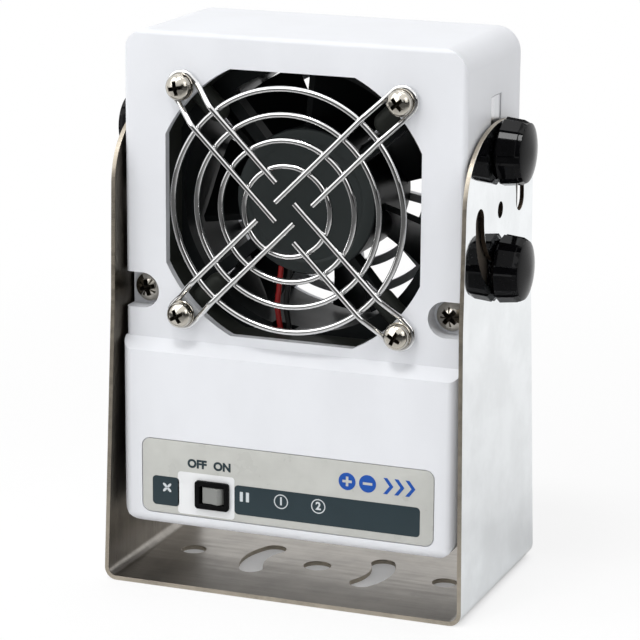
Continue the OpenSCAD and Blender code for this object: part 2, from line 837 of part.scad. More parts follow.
module fan_frame() {
    waist_d = fan_w - 0.6;
    strut_w = 2.6;
    color([0.09, 0.09, 0.10]) translate([0, 0, fan_z]) difference() {
        union() {
            difference() {
                union() {
                    for (y = [fan_y, fan_back_y - flange_fan_t]) plate_y(y, flange_fan_t)
                        round_rect(fan_w, fan_w, fan_corner_r);
                    rod_y([0, fan_y, 0], waist_d, fan_t);
                }
                rod_y([0, fan_y - 1, 0], duct_d, fan_t + 2);
            }
            difference() {
                union() {
                    rod_y([0, fan_y, 0], motor_d, motor_t);
                    rod_y([0, fan_y + 1, 0], tube_d, tube_end - fan_y - 1);
                }
                rod_y([0, fan_y + bearing_seat, 0], bearing_od + press, hub_l + 2);
            }
            for (a = [50, 140, 230, 320]) rotate([0, a, 0]) intersection() {
                translate([motor_d / 2 - 1.5, fan_y, -strut_w / 2])
                    cube([duct_d / 2 - motor_d / 2 + 2, strut_t, strut_w]);
                rod_y([0, fan_y, 0], duct_d + 0.6, strut_t);
            }
        }
        for (x = [-1, 1], z = [-1, 1])
            rod_y([x * fan_pitch / 2, fan_y - 1, z * fan_pitch / 2], fan_hole_d, fan_t + 2);
        translate([(lead_x[0] + lead_x[1]) / 2 - notch_w / 2, fan_y - 1, -fan_w / 2 - 1])
            cube([notch_w, notch_t + 1, fan_w / 2 + 1 - motor_d / 2 + 1.4]);
    }
}

module fan_bearings() {
    color([0.65, 0.66, 0.68]) for (y = [fan_y + bearing_seat + 0.4, tube_end - bearing_l - 0.2])
        translate([0, 0, fan_z]) difference() {
            rod_y([0, y, 0], bearing_od, bearing_l);
            rod_y([0, y - 1, 0], bearing_id, bearing_l + 2);
        }
}

// The wound stator: a ring pressed on the bearing tube with four poles
module fan_stator() {
    y = hub_y + stator_up;
    l = stator_l;
    shoe_r = stator_d / 2 - shoe_t;
    color([0.72, 0.42, 0.2]) translate([0, 0, fan_z]) difference() {
        union() {
            rod_y([0, y, 0], core_d, l);
            for (a = [0 : 90 : 270]) rotate([0, a, 0]) {
                translate([core_d / 2 - 1, y, -pole_w / 2]) cube([shoe_r - core_d / 2 + 1.2, l, pole_w]);
                intersection() {
                    difference() {
                        rod_y([0, y, 0], stator_d, l);
                        rod_y([0, y - 1, 0], 2 * shoe_r, l + 2);
                    }
                    translate([core_d / 2, y - 1, -shoe_w / 2]) cube([stator_d / 2, l + 2, shoe_w]);
                }
            }
        }
        rod_y([0, y - 1, 0], tube_d + press, l + 2);
    }
}

module fan_circuit() {
    color([0.1, 0.35, 0.2]) translate([0, 0, fan_z]) difference() {
        rod_y([0, fan_y + motor_t, 0], circuit_d, circuit_t);
        rod_y([0, fan_y + motor_t - 1, 0], tube_d + press, circuit_t + 2);
    }
}

// One blade: part of a curved sheet whose axis leans, so that it flattens towards the tip
module blade() {
    root = hub_d / 2 - 0.6;
    tip = duct_d / 2 - tip_gap;
    chord = blade_l / sin(blade_pitch);
    camber_r = chord * 1.6;
    sheet_l = 2 * (tip - root);
    intersection() {
        translate([0, blade_y + blade_l / 2, root]) rotate([0, 0, -blade_pitch])
            translate([0, 1.2 - camber_r, 0]) rotate([0, blade_lean, 0]) difference() {
                translate([0, 0, -sheet_l]) cylinder(r = camber_r + blade_t / 2, h = 2 * sheet_l);
                translate([0, 0, -sheet_l - 1]) cylinder(r = camber_r - blade_t / 2, h = 2 * sheet_l + 2);
            }
        difference() {
            rod_y([0, blade_y, 0], 2 * tip, blade_l);
            rod_y([0, blade_y - 1, 0], 2 * root, blade_l + 2);
        }
        translate([-0.8 * chord, blade_y - 1, root / 2]) cube([1.4 * chord, blade_l + 2, tip]);
    }
}

module fan_rotor() {
    color([0.08, 0.08, 0.09]) translate([0, 0, fan_z]) {
        difference() {
            rod_y([0, hub_y, 0], hub_d, hub_l);
            rod_y([0, hub_y - 1, 0], hub_d - 2 * hub_wall, hub_l - hub_end_t + 1);
            rod_y([0, hub_y, 0], shaft_d + press, hub_l + 1);
        }
        for (i = [0 : blades - 1]) rotate([0, i * 360 / blades + blade_turn, 0]) mirror([1, 0, 0]) blade();
    }
}

module rotor_magnet() {
    color([0.25, 0.25, 0.27]) translate([0, 0, fan_z]) difference() {
        rod_y([0, hub_y + magnet_up, 0], hub_d - 2 * hub_wall - press, magnet_l);
        rod_y([0, hub_y, 0], stator_d + 2 * air_gap, magnet_up + magnet_l + 1);
    }
}

module rotor_shaft() {
    color("silver") rod_y([0, fan_y + 2, fan_z], shaft_d, hub_y + hub_l - fan_y - 2.3);
}

module fan_lead(i) {
    y = fan_y + lead_d / 2 + run + i * lead_step;
    x = lead_x[i];
    color(i == 0 ? "red" : "black") wire([
        [x, y, fan_z - motor_d / 2 + 1.2], [x - 1, y, fan_z - motor_d / 2 - 8],
        [x, y, fan_z - fan_w / 2], [x, y, board_top + 1.2], [x, board_y + board_t + 2, board_top - 1],
        [x, board_y + board_t + 2, header_z],
    ], lead_d, 1.4);
}

// ---- electronics ----

module control_board() {
    color([0.08, 0.36, 0.2]) difference() {
        translate([-board_w / 2, board_y, board_bot]) cube([board_w, board_t, board_top - board_bot]);
        for (s = [-1, 1], z = post_z)
            rod_y([s * post_x, board_y - 1, z], board_screw_d + screw_play, board_t + 2);
    }
}

module board_screws() {
    color("gainsboro") for (s = [-1, 1], z = post_z) translate([s * post_x, board_y + board_t, z])
        mirror([0, 1, 0])
            pan_screw([0, 0, 0], board_screw_d - press, board_head_d, board_head_h, board_screw_l);
}

// Parts on the board: fan header, capacitors, a chip, trimmer and the lamps behind the light pipes
module board_parts() {
    y = board_y + board_t;
    color([0.15, 0.15, 0.17]) {
        translate([lead_x[0] - 1.6, y, header_z - header_h]) cube([header_w, header_t, header_h]);
        for (c = capacitors) rod_y([c[0], y, board_top - c[1]], c[2], c[3]);
        translate([chip_x, y, board_bot + chip_up]) cube([chip_w, chip_t, chip_h]);
        translate([trimmer_x, y, board_top - trimmer_down]) cube([trimmer_w, trimmer_h, trimmer_h]);
    }
    color("white") for (x = pipe_x) rod_y([x, board_y - lamp_l, pipe_z], lamp_d, lamp_l);
}

module high_voltage_module() {
    color([0.12, 0.12, 0.13]) translate([hv_x - hv_w / 2, board_y + board_t, hv_z - hv_h / 2])
        difference() {
            cube([hv_w, hv_t, hv_h]);
            translate([1, hv_t - 0.6, 1]) cube([hv_w - 2, 1, hv_h - 2]);
        }
}

module power_socket() {
    color([0.1, 0.1, 0.11]) difference() {
        union() {
            rod_y([socket_x, back_y, socket_z], socket_flange_d, socket_flange_t);
            rod_y([socket_x, split_y - socket_l, socket_z], socket_d, socket_l + cover_t);
            translate([socket_x - socket_box_w / 2, split_y - socket_l - 1.5, socket_z - socket_box_w / 2])
                cube([socket_box_w, socket_box_l, socket_box_w]);
        }
        rod_y([socket_x, split_y - jack_l, socket_z], jack_d, jack_l + cover_t + socket_flange_t + 1);
    }
    color("silver") rod_y([socket_x, split_y - jack_l - e, socket_z], pin_d, jack_l + 1);
}

// ---- lower panel ----

module switch_body() {
    open_w = rocker_w + 0.8;
    open_h = rocker_h + 0.4;
    depth = board_y - panel_y;
    color([0.07, 0.07, 0.08]) translate([switch_x, 0, switch_z]) difference() {
        union() {
            plate_y(panel_y - bezel_out, bezel_out) round_rect(bezel_w, bezel_h, 0.8);
            plate_y(panel_y - e, depth + e) square([switch_body_w, switch_body_h], center = true);
        }
        plate_y(panel_y - bezel_out - 1, bezel_out + 1 + 4.6) square([open_w, open_h], center = true);
        translate([0, rocker_pivot_y, -rocker_h / 2 - 0.6])
            cylinder(d = rocker_axle_d + run, h = rocker_h + 1.2);
    }
}

// The rocker: a shallow V in front, drawn level about its pivot and rested on its left side
module switch_rocker() {
    nose = 1.9;
    back = 1.5;
    rise = rocker_r * tan(rock_range / 2);
    color([0.45, 0.46, 0.48]) translate([switch_x, rocker_pivot_y, switch_z - rocker_h / 2])
        rotate([0, 0, -rock_range / 2]) {
            linear_extrude(rocker_h) intersection() {
                circle(rocker_r);
                polygon([
                    [0, -nose], [rocker_r, -nose - rise], [rocker_r, back],
                    [-rocker_r, back], [-rocker_r, -nose - rise],
                ]);
            }
            translate([0, 0, -rocker_axle_out])
                cylinder(d = rocker_axle_d, h = rocker_h + 2 * rocker_axle_out);
        }
}

module light_pipes() {
    color([0.8, 0.86, 0.8]) for (x = pipe_x)
        rod_y([x, panel_y + label_t + 0.05, pipe_z], pipe_d, board_y - 2.1 - panel_y - label_t);
}

module panel_label() {
    color([0.79, 0.79, 0.76]) translate([0, 0, label_z]) difference() {
        plate_y(panel_y, label_t) round_rect(label_w, label_h, label_r);
        translate([switch_x, 0, switch_z - label_z]) plate_y(panel_y - 1, label_t + 2)
            square([switch_body_w + 2 * fit, switch_body_h + 2 * fit], center = true);
    }
}

bracket();
front_case();
rear_cover();
rear_screws();
case_screws();
tilt_plate(-1);  // tilt_plate_left
tilt_plate(1);  // tilt_plate_right
knob(-1, 1);  // knob_upper_left
knob(1, 1);  // knob_upper_right
knob(-1, -1);  // knob_lower_left
knob(1, -1);  // knob_lower_right
stud(-1, 1);  // stud_upper_left
stud(1, 1);  // stud_upper_right
stud(-1, -1);  // stud_lower_left
stud(1, -1);  // stud_lower_right
fan_guard();
guard_screws();
guard_washers();
fan_nuts();
emitter_ring();
emitter_needles();
emitter_lead();
fan_frame();
fan_bearings();
fan_stator();
fan_circuit();
fan_rotor();
rotor_magnet();
rotor_shaft();
fan_lead(0);  // fan_lead_red
fan_lead(1);  // fan_lead_black
control_board();
board_parts();
board_screws();
high_voltage_module();
switch_body();
switch_rocker();
light_pipes();
panel_label();
power_socket();
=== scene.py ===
import math

import bmesh
import bpy
from bpy.props import FloatProperty, FloatVectorProperty, IntProperty, PointerProperty
from mathutils import Matrix, Vector


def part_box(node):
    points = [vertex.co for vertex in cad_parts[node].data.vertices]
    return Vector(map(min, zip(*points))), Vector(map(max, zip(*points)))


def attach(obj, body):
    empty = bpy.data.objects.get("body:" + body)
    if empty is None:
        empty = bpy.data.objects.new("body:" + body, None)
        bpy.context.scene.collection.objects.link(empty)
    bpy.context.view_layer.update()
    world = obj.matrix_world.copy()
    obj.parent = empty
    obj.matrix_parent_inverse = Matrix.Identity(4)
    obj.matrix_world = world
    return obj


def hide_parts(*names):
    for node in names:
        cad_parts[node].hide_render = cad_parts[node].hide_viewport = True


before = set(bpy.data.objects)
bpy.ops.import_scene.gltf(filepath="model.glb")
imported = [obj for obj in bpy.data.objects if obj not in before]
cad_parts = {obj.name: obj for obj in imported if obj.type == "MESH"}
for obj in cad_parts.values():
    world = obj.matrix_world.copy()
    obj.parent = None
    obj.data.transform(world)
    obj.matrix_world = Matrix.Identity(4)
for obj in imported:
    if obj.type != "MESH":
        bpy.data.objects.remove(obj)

bl_info = {
    "name": "Bench Ionizing Blower",
    "version": (1, 0, 0),
    "blender": (4, 5, 0),
    "location": "View3D > Sidebar > Blower",
    "description": "Dresses the frame of a small bench ionizing blower with finished pieces",
    "category": "Object",
}

MM = 0.001

# Places that the frame gives, in millimetres
FAN = [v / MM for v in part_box("fan_frame")]
RING = [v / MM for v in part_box("emitter_ring")]
LABEL = [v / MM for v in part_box("panel_label")]
SWITCH = [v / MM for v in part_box("switch_body")]
INNER_Y = RING[0].y
FACE_Y = INNER_Y - 2
FAN_Y = FAN[0].y
FAN_Z = (FAN[0].z + FAN[1].z) / 2
LABEL_Z = (LABEL[0].z + LABEL[1].z) / 2
STUD_D = (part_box("stud_upper_right")[1].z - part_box("stud_upper_right")[0].z) / MM
AXIS_Z = (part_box("knob_upper_right")[0].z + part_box("knob_lower_right")[1].z) / 2 / MM

# Sizes that the frame's pieces share, in millimetres
SCREW_PITCH = 50
WIRE = 1.3
RING_RADII = (9.8, 15.3, 20.8, 26.3)

# Knobs: half their width at the foot and at the crown, their height, and their face's rise
KNOB_R = 7.44
KNOB_CROWN_R = 7.02
KNOB_LENGTH = 5.9
KNOB_DOME = 1.2

# Bracket: how far its slots reach from the tilt axis, the radius of the arch over each arm, its
# top's height over the axis, and how far in the arms' outside and their bends reach at most
SLOT_REACH = 16.85
ARCH_R = 37.1
ARCH_RISE = 19.4
LEAN_REACH = 2.4
BEND_REACH = 4

# Case: the distances from the tilt axis over which the painted shade on its sides, in the gap
# behind the arms, fades out, and the distances from the middle over which it sets in
GAP_SHADE_REACH = (16.0, 18.5)
GAP_SHADE_SIDE = (38.4, 38.8)

# Print on the label: rows over the base line, which lies STRIP_TOP below the label's middle
STRIP_LOW, STRIP_TOP = 17.65, 24.3
SIGN_ROW = 21.8
PAD_TOP = 25.9
SWITCH_ROW = 27.9
FLOW_ROW = 28.25

# Print on the label: middle and width of each piece of the strip and of the pad, then the signs
STRIP_PIECES = ((-28.4, 6.4), (9.5, 43.0))
PAD_X, PAD_WIDTH = -18.75, 13.5
MARK_X = -28.1
BARS_X = -10.7
NUMBERS = (("1", -1.0), ("2", 7.7))
PLUS_X, MINUS_X = 14.3, 19.0
ARROWS_X = 22.6


# ---- settings ----

def size(label, text, default):
    return FloatProperty(name=label, description=text, default=default, min=0, unit="LENGTH")


def colour(label, text, default):
    return FloatVectorProperty(
        name=label, description=text, default=default, size=3, subtype="COLOR", min=0, max=1)


class BlowerSizes(bpy.types.PropertyGroup):
    """Small sizes of the finished pieces."""
    case_edge: size("Case edge", "Rounding along the case's crisp edges", 0.0003)
    sheet_edge: size("Sheet edge", "Rounding along the bracket's cut edges", 0.00012)
    print_height: size("Print height", "Thickness of the ink on the label", 0.00004)
    thread_depth: size("Thread depth", "Depth of the screw threads", 0.00022)
    wire_sides: IntProperty(
        name="Wire sides", description="Faces round each wire of the guard", default=20, min=8, max=32)


class BlowerColours(bpy.types.PropertyGroup):
    """Colours of the finishes."""
    case: colour("Case", "Moulded case", (0.80, 0.815, 0.85))
    # Painted shade: this dark tone stands for the shade on the case's sides in the narrow gap behind the arms
    gap_shade: colour("Shadowed case", "Case where the arms rub on it", (0.085, 0.072, 0.06))
    sheet: colour("Bracket", "Stainless sheet as rolled", (0.34, 0.318, 0.29))
    mirror: colour("Bracket outside", "Stainless sheet polished to a mirror", (0.86, 0.885, 0.9))
    # Painted shade: the tone of the arms' inner faces, which face the case across a narrow gap
    arms: colour("Arms inside", "The sheet between the arms and the case", (0.1, 0.088, 0.07))
    cut: colour("Cut edges", "Sheared edges of the sheet", (0.43, 0.386, 0.32))
    # Painted shade: the walls of the arms' slots and centre holes, darker than the other cut edges
    slot: colour("Slot walls", "Laser-cut walls of the arms' slots", (0.085, 0.064, 0.046))
    knob: colour("Knobs", "Glossy knob moulding", (0.0025, 0.0025, 0.003))
    label: colour("Label", "Film of the label", (0.55, 0.555, 0.525))
    strip: colour("Strip", "Dark strip printed on the label", (0.015, 0.033, 0.042))
    accent: colour("Accent", "Blue ink", (0.0, 0.075, 0.40))
    fan: colour("Fan", "Fan mouldings", (0.007, 0.0085, 0.009))
    ring: colour("Emitter ring", "Moulding that holds the needles", (0.022, 0.024, 0.021))
    floor: colour("Floor", "Studio floor", (0.97, 0.97, 0.97))


class BlowerStudio(bpy.types.PropertyGroup):
    """Levels of the studio light."""
    key: FloatProperty(name="Key", description="Power of the key light", default=2.8, unit="POWER")
    strip: FloatProperty(name="Strip", description="Power of the small bright box", default=3.3, unit="POWER")
    fill: FloatProperty(name="Fill", description="Power of the fill light", default=1.9, unit="POWER")
    top: FloatProperty(name="Top", description="Power of the top light", default=3.4, unit="POWER")
    ambient: FloatProperty(name="Ambient", description="Level of the room", default=0.45, min=0)


# ---- shader maths ----

class Reading:
    """A socket's value in a node tree; sums and comparisons on it add Math nodes."""

    def __init__(self, board, socket):
        self.board = board
        self.socket = socket

    def math(self, operation, a, b=0.0):
        return self.board.node("ShaderNodeMath", {"operation": operation}, {0: a, 1: b})

    def __add__(self, other):
        return self.math("ADD", self, other)

    def __sub__(self, other):
        return self.math("SUBTRACT", self, other)

    def __rsub__(self, other):
        return self.math("SUBTRACT", other, self)

    def __mul__(self, other):
        return self.math("MULTIPLY", self, other)

    def __truediv__(self, other):
        return self.math("DIVIDE", self, other)

    def __lt__(self, other):
        return self.math("LESS_THAN", self, other)

    def __abs__(self):
        return self.math("ABSOLUTE", self)

    def __pow__(self, other):
        return self.math("POWER", self, other)

    def high(self, other):
        return self.math("MAXIMUM", self, other)


class Board:
    """A node tree that is written as expressions."""

    def __init__(self, tree):
        self.tree = tree
        tree.nodes.clear()

    def node(self, kind, settings=None, sockets=None, out=0):
        """Adds a node: its settings first, then the values or links of its sockets."""
        made = self.tree.nodes.new(kind)
        for name, value in (settings or {}).items():
            setattr(made, name, value)
        for key, value in (sockets or {}).items():
            self.feed(made.inputs[key], value)
        return Reading(self, made.outputs[out])

    def feed(self, socket, value):
        if isinstance(value, Reading):
            self.tree.links.new(value.socket, socket)
        elif socket.type == "RGBA":
            socket.default_value = (*tuple(value)[:3], 1)
        else:
            socket.default_value = value

    def place(self):
        return self.node("ShaderNodeTexCoord", out=3)

    def way(self):
        """The direction of a ray into the room."""
        return self.node("ShaderNodeTexCoord", out=0)

    def axes(self):
        """The X, Y and Z of a surface point, in millimetres."""
        split = self.node("ShaderNodeSeparateXYZ", sockets={0: self.place()})
        outs = split.socket.node.outputs
        return [Reading(self, outs[i]) / MM for i in range(3)]

    def noise(self, grain, detail, rough=0.5, along=(1, 1, 1)):
        """Smooth noise whose grain is in millimetres, drawn out by the factors in along."""
        scaled = self.node(
            "ShaderNodeMapping", {"vector_type": "POINT"},
            {0: self.place(), 3: tuple(1 / (grain * MM * a) for a in along)})
        return self.node(
            "ShaderNodeTexNoise", {"noise_dimensions": "3D"},
            {"Vector": scaled, "Scale": 1.0, "Detail": detail, "Roughness": rough})

    def fraction(self, value):
        return value.math("FRACT", value)

    def step(self, value, low, high, out_low=0.0, out_high=1.0):
        """Goes smoothly from out_low to out_high as value goes from low to high."""
        return self.node(
            "ShaderNodeMapRange", {"interpolation_type": "SMOOTHSTEP"},
            {0: value, 1: low, 2: high, 3: out_low, 4: out_high})

    def mix(self, factor, a, b):
        return self.node("ShaderNodeMix", {"data_type": "RGBA"}, {0: factor, 6: a, 7: b}, out=2)

    def bump(self, height, depth, strength):
        """A bump whose full height is depth millimetres."""
        return self.node(
            "ShaderNodeBump", None,
            {"Strength": strength, "Distance": depth * MM, "Height": height})


class Finish(Board):
    """A material on the standard surface shader."""

    def __init__(self, name, **plain):
        self.material = bpy.data.materials.new(name)
        self.material.use_nodes = True
        super().__init__(self.material.node_tree)
        self.shader = self.tree.nodes.new("ShaderNodeBsdfPrincipled")
        self.end = self.tree.nodes.new("ShaderNodeOutputMaterial")
        self.tree.links.new(self.shader.outputs[0], self.end.inputs[0])
        self.wear(**plain)

    def wear(self, **values):
        """Sets or links sockets of the shader: base_color stands for Base Color."""
        for name, value in values.items():
            label = name.replace("_", " ").title().replace("Ior", "IOR")
            self.feed(self.shader.inputs[label], value)
        return self


def shade(tone, factor):
    return tuple(min(1, c * factor) for c in tone)


def moulded(name, tone, rough, grain=0.22, depth=0.012, level=0.5, gap_shade=None):
    """Moulded plastic: fine spark-eroded grain, faint flow marks in its tone and gloss.
    A shade tone, if given, is painted shade on the case's sides round the tilt axis, behind the arms."""
    coat = Finish(name, ior=1.5, specular_ior_level=level)
    fine = coat.noise(grain, 3, 0.6)
    flow = coat.noise(14, 3, 0.55, (1, 1, 2.2))
    base = coat.mix(coat.step(flow, 0.3, 0.7), shade(tone, 0.975), shade(tone, 1.012))
    if gap_shade:
        x, y, z = coat.axes()
        reach = (y * y + (z - AXIS_Z) * (z - AXIS_Z)) ** 0.5
        # Painted shade: the case's sides round the tilt axis, behind the arms, take the dark tone
        shade_mask = coat.step(reach, *GAP_SHADE_REACH, 1.0, 0.0) * coat.step(abs(x), *GAP_SHADE_SIDE)
        base = coat.mix(shade_mask, base, gap_shade)
    coat.wear(
        base_color=base,
        roughness=coat.step(flow, 0.3, 0.7, rough * 0.9, rough * 1.1) + fine * 0.05,
        normal=coat.bump(fine, depth, 0.55))
    return coat.material


def brushed(name, tone, rough, along, stain=0.06, shade_above=None):
    """Brushed sheet metal: long fine scratches with a slight stain between them. Its tone turns
    into another one above the base, if that is given; that tone is painted shade."""
    coat = Finish(name, metallic=1.0)
    hair = coat.noise(0.16, 3, 0.65, along)
    band = coat.noise(1.4, 2, 0.5, along)
    cloud = coat.noise(9, 4, 0.6)
    worn = coat.mix(coat.step(cloud, 0.35, 0.68), shade(tone, 1 - stain), shade(tone, 1 + stain))
    bright = shade(tone, 1.08)
    if shade_above:
        rise = coat.step(coat.axes()[2], 1.5, 12.0)
        mottle = coat.mix(coat.step(cloud, 0.35, 0.68), shade(shade_above, 0.7), shade(shade_above, 1.3))
        worn = coat.mix(rise, worn, mottle)
        bright = coat.mix(rise, bright, shade(shade_above, 1.35))
    coat.wear(
        base_color=coat.mix(coat.step(hair, 0.35, 0.7), worn, bright),
        roughness=coat.step(band, 0.3, 0.7, rough * 0.82, rough * 1.2) + hair * 0.07,
        normal=coat.bump(hair, 0.012, 0.6))
    return coat.material


def plated(name, tone, rough):
    """Bright plating: faint polishing haze and tiny pits."""
    coat = Finish(name, metallic=1.0)
    haze = coat.noise(2.6, 4, 0.6)
    pits = coat.noise(0.12, 2, 0.5)
    coat.wear(
        base_color=coat.mix(coat.step(haze, 0.35, 0.7), shade(tone, 0.94), tone),
        roughness=coat.step(haze, 0.3, 0.75, rough * 0.7, rough * 1.5),
        normal=coat.bump(pits, 0.003, 0.35))
    return coat.material


def polished_sheet(name, tone):
    """Mirror-polished sheet: nearly flat, with faint polishing lines and patches worn by rubbing."""
    coat = Finish(name, metallic=1.0)
    lines = coat.noise(0.2, 2, 0.5, (1, 1, 26))
    rub = coat.noise(11, 4, 0.6)
    wave = coat.noise(16, 1, 0.4)
    coat.wear(
        base_color=coat.mix(coat.step(rub, 0.35, 0.7), shade(tone, 0.94), shade(tone, 1.04)),
        roughness=coat.step(rub, 0.35, 0.75, 0.025, 0.07) + lines * 0.015,
        normal=coat.bump(wave + lines * 0.01, 0.03, 0.3))
    return coat.material


def printed(name, tone, rough=0.32):
    """Screen-printed ink: level, with a fine screen texture."""
    coat = Finish(name, ior=1.48)
    screen = coat.noise(0.11, 2, 0.5)
    patch = coat.noise(5, 3, 0.5)
    coat.wear(
        base_color=coat.mix(coat.step(patch, 0.3, 0.7), shade(tone, 0.96), shade(tone, 1.03)),
        roughness=coat.step(patch, 0.3, 0.7, rough * 0.9, rough * 1.12),
        normal=coat.bump(screen, 0.006, 0.4))
    return coat.material


def glossy_black(name, tone, rough, level):
    """Glossy phenolic moulding with faint ripples and fine dust scratches."""
    coat = Finish(name, specular_ior_level=level)
    ripple = coat.noise(2.4, 2, 0.5)
    dust = coat.noise(0.18, 2, 0.6)
    coat.wear(
        base_color=coat.mix(coat.step(ripple, 0.3, 0.7), shade(tone, 0.8), shade(tone, 1.3)),
        roughness=coat.step(dust, 0.45, 0.8, rough, rough * 2),
        normal=coat.bump(ripple, 0.02, 0.25))
    return coat.material


def insulation(name, tone):
    """Wire insulation: a drawn, slightly waxy skin."""
    rough = 0.35
    coat = Finish(name, ior=1.45)
    drawn = coat.noise(0.3, 2, 0.5, (1, 1, 6))
    coat.wear(
        base_color=coat.mix(coat.step(drawn, 0.3, 0.7), shade(tone, 0.88), shade(tone, 1.08)),
        roughness=coat.step(drawn, 0.3, 0.7, rough * 0.85, rough * 1.2),
        normal=coat.bump(drawn, 0.02, 0.4))
    return coat.material


def circuit_film(name):
    """Solder mask over copper tracks, with a weave showing faintly."""
    coat = Finish(name, ior=1.5)
    x, y, z = coat.axes()
    runs = [abs(coat.fraction(axis * pitch + coat.noise(10, 0) * 3) - 0.5)
            for axis, pitch in ((x, 0.62), (z, 0.5))]
    track = (runs[0] < 0.09).high(runs[1] < 0.08)
    weave = coat.noise(0.35, 1, 0.5, (1, 4, 1))
    coat.wear(
        base_color=coat.mix(track, (0.012, 0.115, 0.055), (0.03, 0.2, 0.09)),
        roughness=coat.step(weave, 0.3, 0.7, 0.28, 0.4),
        normal=coat.bump(track + weave * 0.2, 0.03, 0.6))
    return coat.material


def wound(name):
    """Enamelled copper winding: bands of wire with a varnish gloss."""
    coat = Finish(name, metallic=0.85, coat_weight=0.5, coat_roughness=0.12)
    x, y, z = coat.axes()
    turn = coat.node("ShaderNodeMath", {"operation": "SINE"}, {0: y * 18.0})
    mottle = coat.noise(1.5, 2, 0.5)
    coat.wear(
        base_color=coat.mix(coat.step(mottle, 0.3, 0.7), (0.42, 0.16, 0.06), (0.62, 0.27, 0.11)),
        roughness=coat.step(turn, -1.0, 1.0, 0.22, 0.42),
        normal=coat.bump(turn, 0.05, 0.7))
    return coat.material


def light_guide(name):
    """Frosted light guide, milky at its ends."""
    coat = Finish(name, ior=1.49, transmission_weight=0.55)
    frost = coat.noise(0.25, 3, 0.6)
    coat.wear(
        base_color=coat.mix(coat.step(frost, 0.3, 0.7), (0.62, 0.72, 0.64), (0.78, 0.84, 0.78)),
        roughness=coat.step(frost, 0.3, 0.7, 0.25, 0.5),
        normal=coat.bump(frost, 0.01, 0.5))
    return coat.material


# ---- modelling ----

def frame_mesh(node):
    """A merged copy of a frame node's mesh, with flat areas made one face, in metres."""
    bm = bmesh.new()
    bm.from_mesh(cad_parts[node].data)
    bmesh.ops.remove_doubles(bm, verts=bm.verts, dist=2e-6)
    bmesh.ops.dissolve_degenerate(bm, dist=1e-6, edges=bm.edges)
    bmesh.ops.dissolve_limit(
        bm, angle_limit=math.radians(0.6), verts=bm.verts, edges=bm.edges, delimit={"NORMAL"})
    return bm


def soften(bm, width, segments, angle):
    """Rounds a shape's crisp edges."""
    edges = [
        edge for edge in bm.edges
        if len(edge.link_faces) == 2 and edge.calc_face_angle(0) > math.radians(angle)]
    bmesh.ops.bevel(
        bm, geom=edges, offset=width, offset_type="OFFSET", segments=segments, profile=0.5,
        affect="EDGES", material=-1, clamp_overlap=True, loop_slide=True)
    return bm


def lofted(count, rings):
    """A round shape along +Z. Each ring is (radius, height), or a function of the turn that gives
    them; a ring of radius 0 at either end is closed to a point."""
    bm = bmesh.new()
    turn = bm.verts.layers.float.new("turn")
    bmesh.ops.create_circle(bm, segments=count, radius=1)
    for vert in bm.verts:
        vert[turn] = math.atan2(vert.co.y, vert.co.x)
    loop, edges = list(bm.verts), list(bm.edges)
    ends = []
    for number, ring in enumerate(rings):
        if number:
            made = bmesh.ops.extrude_edge_only(bm, edges=edges)["geom"]
            loop = [item for item in made if isinstance(item, bmesh.types.BMVert)]
            fresh = set(loop)
            edges = [
                item for item in made
                if isinstance(item, bmesh.types.BMEdge) and fresh.issuperset(item.verts)]
        for vert in loop:
            radius, height = ring(vert[turn]) if callable(ring) else ring
            vert.co = (radius * math.cos(vert[turn]), radius * math.sin(vert[turn]), height)
        if number in (0, len(rings) - 1):
            ends.append((loop, ring))
    for loop, ring in ends:
        if not callable(ring) and ring[0] == 0:
            bmesh.ops.pointmerge(bm, verts=loop, merge_co=(0, 0, ring[1]))
    bmesh.ops.remove_doubles(bm, verts=bm.verts, dist=1e-5)
    bm.verts.layers.float.remove(bm.verts.layers.float["turn"])
    bmesh.ops.recalc_face_normals(bm, faces=bm.faces)
    bmesh.ops.scale(bm, vec=(MM,) * 3, verts=bm.verts)
    return bm


# Turns a shape made along +Z so that it faces a way
FACING = {
    "front": Matrix.Rotation(math.radians(90), 4, "X"),
    "back": Matrix.Rotation(math.radians(-90), 4, "X"),
    "right": Matrix.Rotation(math.radians(90), 4, "Y"),
    "left": Matrix.Rotation(math.radians(-90), 4, "Y"),
}


def placed(bm, facing, x, y, z, spin=0.0):
    """Spins a shape about its own axis, faces it a way and moves it to a place in millimetres."""
    turn = FACING[facing] @ Matrix.Rotation(math.radians(spin), 4, "Z")
    bmesh.ops.transform(
        bm, matrix=Matrix.Translation(Vector((x, y, z)) * MM) @ turn, verts=bm.verts)
    return bm


def joined(shapes):
    """One mesh of several."""
    whole = bmesh.new()
    for bm in shapes:
        part = bpy.data.meshes.new("part")
        bm.to_mesh(part)
        bm.free()
        whole.from_mesh(part)
        bpy.data.meshes.remove(part)
    return whole


def finished(name, bm, body, coats, stands_for, sharp, weighted=False):
    """Makes a shape a finished piece that rides on a body."""
    mesh = bpy.data.meshes.new(name)
    bm.to_mesh(mesh)
    bm.free()
    mesh.polygons.foreach_set("use_smooth", [True] * len(mesh.polygons))
    mesh.set_sharp_from_angle(angle=math.radians(sharp))
    for coat in coats:
        mesh.materials.append(coat)
    piece = bpy.data.objects.new(name, mesh)
    bpy.context.scene.collection.objects.link(piece)
    if weighted:
        even = piece.modifiers.new("Even shading", "WEIGHTED_NORMAL")
        even.keep_sharp = True
    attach(piece, body)
    if stands_for:
        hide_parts(*stands_for)
    return piece


def refined(node, name, coat, width, segments, angle, sharp=40, body="head", weighted=True):
    """Makes a frame node's own shape, with its crisp edges rounded, a finished piece."""
    bm = soften(frame_mesh(node), width, segments, angle)
    finished(name, bm, body, [coat], [node], sharp, weighted)


def dress(node, coat):
    """Gives a frame node a finish."""
    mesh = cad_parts[node].data
    mesh.materials.clear()
    mesh.materials.append(coat)


